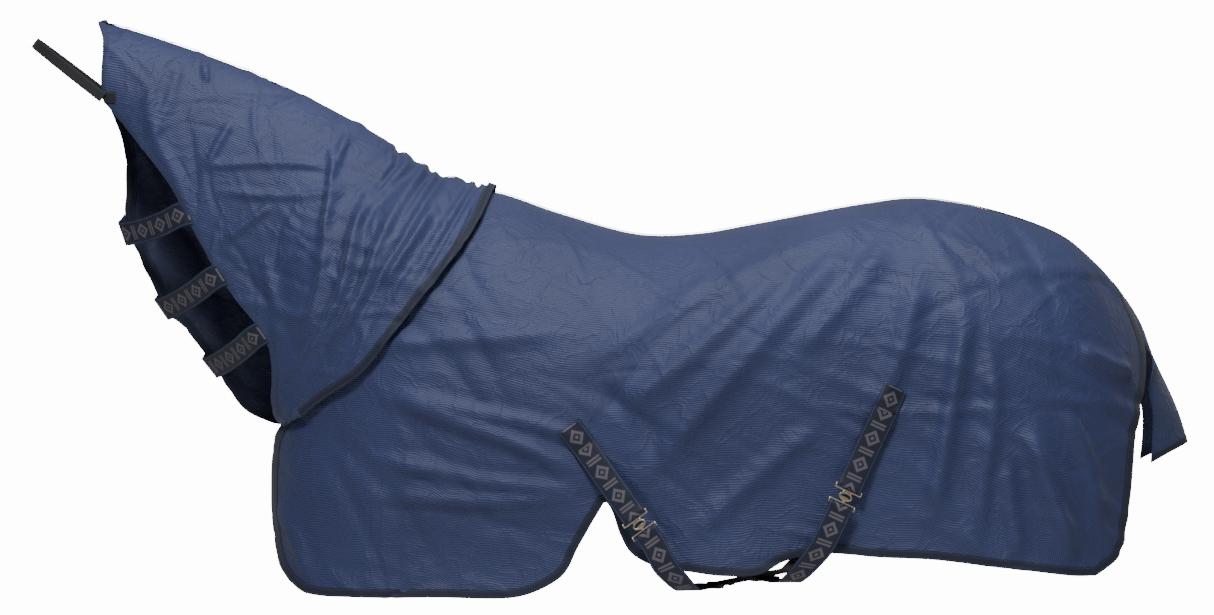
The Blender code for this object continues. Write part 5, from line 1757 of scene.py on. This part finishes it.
@dataclass
class ChestStrap:
    """One closure across the chest: a ring inside the near front edge and a hooked strap from the far one."""

    level: str
    height: float
    inside: float = 0.0085
    set_back: float = 0.006
    hinge_past: float = 0.0075
    steps: tuple[float, ...] = (0.004, 0.012, 0.022, 0.036, 0.052)

    def build(self) -> None:
        """Makes the tab, ring, hooked strap and sewn base."""
        height = self.height * FORM.body_drop / 100
        curve = smooth_curve(FORM.body_xz(FORM.front))
        edge = float(np.interp(-height, -curve[:, 1], curve[:, 0]))

        def cloth(side: Side, step: float, inside: float) -> Array:
            """A point inside a panel, a step behind its front edge."""
            return FORM.spot(FORM.body_half, (edge + step, height), side, -inside)

        axes = ClipFrame.of(np.array([edge + self.set_back, 0.004 - CLIP.chain, height]), np.array([0.0, 1.0, 0.0]),
                            np.array([-1.0, 0.0, 0.0]))
        up = np.array([0.0, 0.0, 1.0])
        tab = CLIP.turned(axes, 0.012)[:-1] + [axes.world(0, -0.014, -0.001)]
        tab += [cloth(Side.NEAR, s, self.inside) for s in self.steps]
        mount(webbing(f"{self.level}_chest_tab", np.array(tab), np.tile(up, (len(tab), 1)), CLIP.webbing, CLIP.strap,
                      STRAP), "rug", f"chest_tab_{self.level}")
        mount(CLIP.ring(f"{self.level}_chest_clip_ring", axes), "rug", f"chest_ring_{self.level}")
        hook = axes.facing(CLIP.chain, CLIP.plate + CLIP.plate_gap)
        hinge = FORM.spot(FORM.body_half, (edge, height), Side.FAR) - (0.0, self.hinge_past, 0.0)
        strap = CLIP.turned(hook, 0.016) + [hinge]
        mount(webbing(f"{self.level}_chest_webbing", np.array(strap), np.tile(up, (len(strap), 1)), CLIP.webbing,
                      CLIP.strap, STRAP), f"{self.level}_chest_strap", f"chest_strap_{self.level}")
        mount(CLIP.hook(f"{self.level}_chest_clip_hook", hook), f"{self.level}_chest_strap",
              f"chest_hook_{self.level}")
        base = np.array([hinge + (0.0018, 0.0014, 0.0)] + [cloth(Side.FAR, s + 0.002, self.inside)
                                                           for s in self.steps[1:]])
        mount(webbing(f"{self.level}_chest_base", base, np.tile(up, (len(base), 1)), CLIP.webbing, CLIP.strap, STRAP),
              "rug", f"chest_base_{self.level}")


@dataclass
class NeckStrap:
    """A webbing across the throat, sewn to the near edge and held to the far one by a loop pad."""

    level: str
    near: Point
    far: Point
    lean: Point
    sewn_offset: float = 0.0045
    pad: float = 0.0012
    bow: float = 0.010

    def build(self) -> None:
        """Makes the strap and its pads."""
        near, far = FORM.cover_xz([self.near, self.far])
        lean = np.array(self.lean) / np.linalg.norm(self.lean) * CLIP.webbing / 2
        ahead = (far - near) / np.linalg.norm(far - near)
        edge_off = NeckCover.binding_thickness / 2

        def pair(middle: Array, side: Side, off: float) -> tuple[Array, Array]:
            """The middle of a cross line of the webbing, and the line's direction."""
            ends = [FORM.spot(FORM.cover_half, place, side, off) for place in (middle - lean, middle + lean)]
            return (ends[0] + ends[1]) / 2, ends[0] - ends[1]

        wrap_off = edge_off + self.pad + CLIP.strap / 2 + 0.0028
        rows = [pair(near - 0.008 * ahead, Side.NEAR, self.sewn_offset),
                pair(near + 0.012 * ahead, Side.NEAR, self.sewn_offset)]
        turn = pair(far + 0.008 * FORM.below, Side.FAR, wrap_off)
        first = rows[1]
        down = np.array([FORM.below[0], 0.0, FORM.below[1]]) * self.bow
        for share in (0.25, 0.5, 0.75):
            rows.append((first[0] + share * (turn[0] - first[0]) + 4 * share * (1 - share) * down,
                         first[1] + share * (turn[1] - first[1])))
        rows.append(turn)
        rows += [pair(far - step * FORM.below, Side.FAR, wrap_off) for step in (0.002, 0.006, 0.012)]
        strap = webbing(f"{self.level}_neck_strap", np.array([m for m, _ in rows]), np.array([a for _, a in rows]),
                        CLIP.webbing, CLIP.strap, STRAP)
        mount(strap, f"{self.level}_neck_strap", f"neck_strap_{self.level}")
        pads = [pair(far - step * FORM.below, Side.FAR, edge_off + 0.0008 + self.pad / 2)
                for step in (-0.001, 0.004, 0.010)]
        pad = webbing(f"{self.level}_neck_loop_pad", np.array([m for m, _ in pads]), np.array([a for _, a in pads]),
                      CLIP.webbing - 0.004, self.pad, LOOP_PILE, "loop_pad")
        mount(pad, "neck_cover", f"neck_loop_pad_{self.level}")


@dataclass
class BrowBand:
    """The webbing loop ahead of the poll, with a tab sewn to each side of the cover."""

    place: Point = (-97.5, 54)
    tab_length: float = 0.026
    width: float = 0.022
    thickness: float = 0.0020
    reach: float = 0.192
    tab_offset: float = 0.0032
    band_offset: float = 0.0045
    band_bulge: float = 0.0062

    def build(self) -> None:
        """Makes the band and its tabs."""
        tab = FORM.cover_xz([self.place])[0]
        for side in Side:
            places = tab + np.linspace((0.002, 0.0), (self.tab_length, 0.0), 8)
            obj = sewn_webbing(f"{side.word}_brow_tab", COVER[side], places, (0, 1), self.width, self.thickness,
                               BROW_WEBBING, self.tab_offset)
            mount(obj, "neck_cover", f"brow_tab_{side.hand}")
        half = FORM.spot(FORM.cover_half, tab, Side.FAR, self.band_offset)[1] + self.band_bulge
        ahead, across = np.array([-0.79, 0.0, 0.613]), np.array([0.613, 0.0, 0.79])
        angles = np.radians(np.linspace(0, 180, 37))
        line = np.array([(tab[0], -half * math.cos(a), tab[1]) + ahead * self.reach * math.sin(a) for a in angles])
        band = webbing("brow_band_webbing", line, np.tile(across, (len(line), 1)), self.width, self.thickness,
                       BROW_WEBBING)
        mount(band, "brow_band", "brow_strap")


# ---- Stage ---------------------------------------------------------------------------------------------


@dataclass(frozen=True)
class Lamp:
    """A square area light, from its place towards its goal. size: of its side. power: in watts."""

    name: str
    place: Point3
    goal: Point3
    size: float
    power: float

    def hang(self) -> None:
        """Adds the light to the scene."""
        data = bpy.data.lights.new(self.name, "AREA")
        data.size, data.energy = self.size, self.power
        obj = bpy.data.objects.new(self.name, data)
        obj.location = self.place
        obj.rotation_euler = (Vector(self.goal) - Vector(self.place)).to_track_quat("-Z", "Y").to_euler()
        bpy.context.scene.collection.objects.link(obj)


@dataclass
class Studio:
    """A pale floor, soft lights, the camera and a white backdrop."""

    floor: float = -1.55
    floor_size: float = 6.0
    camera_place: Point3 = (0.228, -7.07, -0.235)
    lens: float = 102.5
    backdrop: float = 14.0
    ambient: float = 0.10
    lamps: tuple[Lamp, ...] = (
        Lamp("key", (-0.4, -3.9, 3.6), (0.35, 0.0, -0.1), 1.3, 190.0),
        Lamp("fill", (3.2, -3.6, 1.0), (0.4, 0.0, -0.4), 2.6, 5.0),
        Lamp("top", (0.8, -0.9, 3.3), (0.5, 0.0, 0.0), 1.8, 62.0),
        Lamp("back", (0.4, 3.6, 1.6), (0.2, 0.0, -0.3), 2.4, 8.0),
    )

    def build(self) -> None:
        """Makes the stage."""
        bm = bmesh.new()
        bmesh.ops.create_grid(bm, x_segments=1, y_segments=1, size=self.floor_size)
        floor = link("studio_floor", bm)
        for vert in floor.data.vertices:
            vert.co.z = self.floor
        floor.data.materials.append(PAPER.material())
        for lamp in self.lamps:
            lamp.hang()
        self.world()
        camera = bpy.data.cameras.new("camera")
        camera.lens, camera.sensor_width = self.lens, 36.0
        holder = bpy.data.objects.new("camera", camera)
        holder.location = self.camera_place
        holder.rotation_euler = (math.radians(90), 0.0, 0.0)
        bpy.context.scene.collection.objects.link(holder)
        bpy.context.scene.camera = holder

    def world(self) -> None:
        """A white backdrop for the camera and a softer one for the light."""
        world = bpy.data.worlds.new("studio")
        bpy.context.scene.world = world
        world.use_nodes = True
        nodes, links = world.node_tree.nodes, world.node_tree.links
        nodes.clear()
        seen, lit = nodes.new("ShaderNodeBackground"), nodes.new("ShaderNodeBackground")
        seen.inputs["Color"].default_value = (1.0, 1.0, 1.0, 1.0)
        seen.inputs["Strength"].default_value = self.backdrop
        lit.inputs["Color"].default_value = (0.93, 0.96, 1.0, 1.0)
        lit.inputs["Strength"].default_value = self.ambient
        path, mix, out = (nodes.new(kind) for kind in (
            "ShaderNodeLightPath", "ShaderNodeMixShader", "ShaderNodeOutputWorld"))
        links.new(path.outputs["Is Camera Ray"], mix.inputs[0])
        links.new(lit.outputs[0], mix.inputs[1])
        links.new(seen.outputs[0], mix.inputs[2])
        links.new(mix.outputs[0], out.inputs["Surface"])


NECK_STRAPS = (
    NeckStrap("top", (-76.4, -5.6), (-93.5, -9.3), (0.30, -0.95)),
    NeckStrap("middle", (-68.3, -21.1), (-84.1, -28.3), (0.54, -0.84)),
    NeckStrap("lower", (-57.7, -35.6), (-72.1, -43.2), (0.60, -0.80)),
)
BELLY_STRAPS = (
    BellyStrap("front", FRONT_SURCINGLE, (39.8, -69.5), (39.8, -86.0), (22.4, 35.2), -0.975, anchor_slant=-0.098),
    BellyStrap("rear", REAR_SURCINGLE, (17.0, -71.5), (17.0, -86.0), (32.7, 20.5), -0.957, anchor_slant=0.104),
)


def main() -> None:
    """Builds the whole rug on its frame."""
    parts = (BodyCloth(), NeckCover(), TailCover(), FRONT_SURCINGLE, REAR_SURCINGLE, *BELLY_STRAPS,
             ChestStrap("upper", -66.0), ChestStrap("lower", -77.5), *NECK_STRAPS, BrowBand(), Studio())
    for part in parts:
        log.info("building %s", type(part).__name__)
        part.build()


if __name__ == "__main__":
    main()
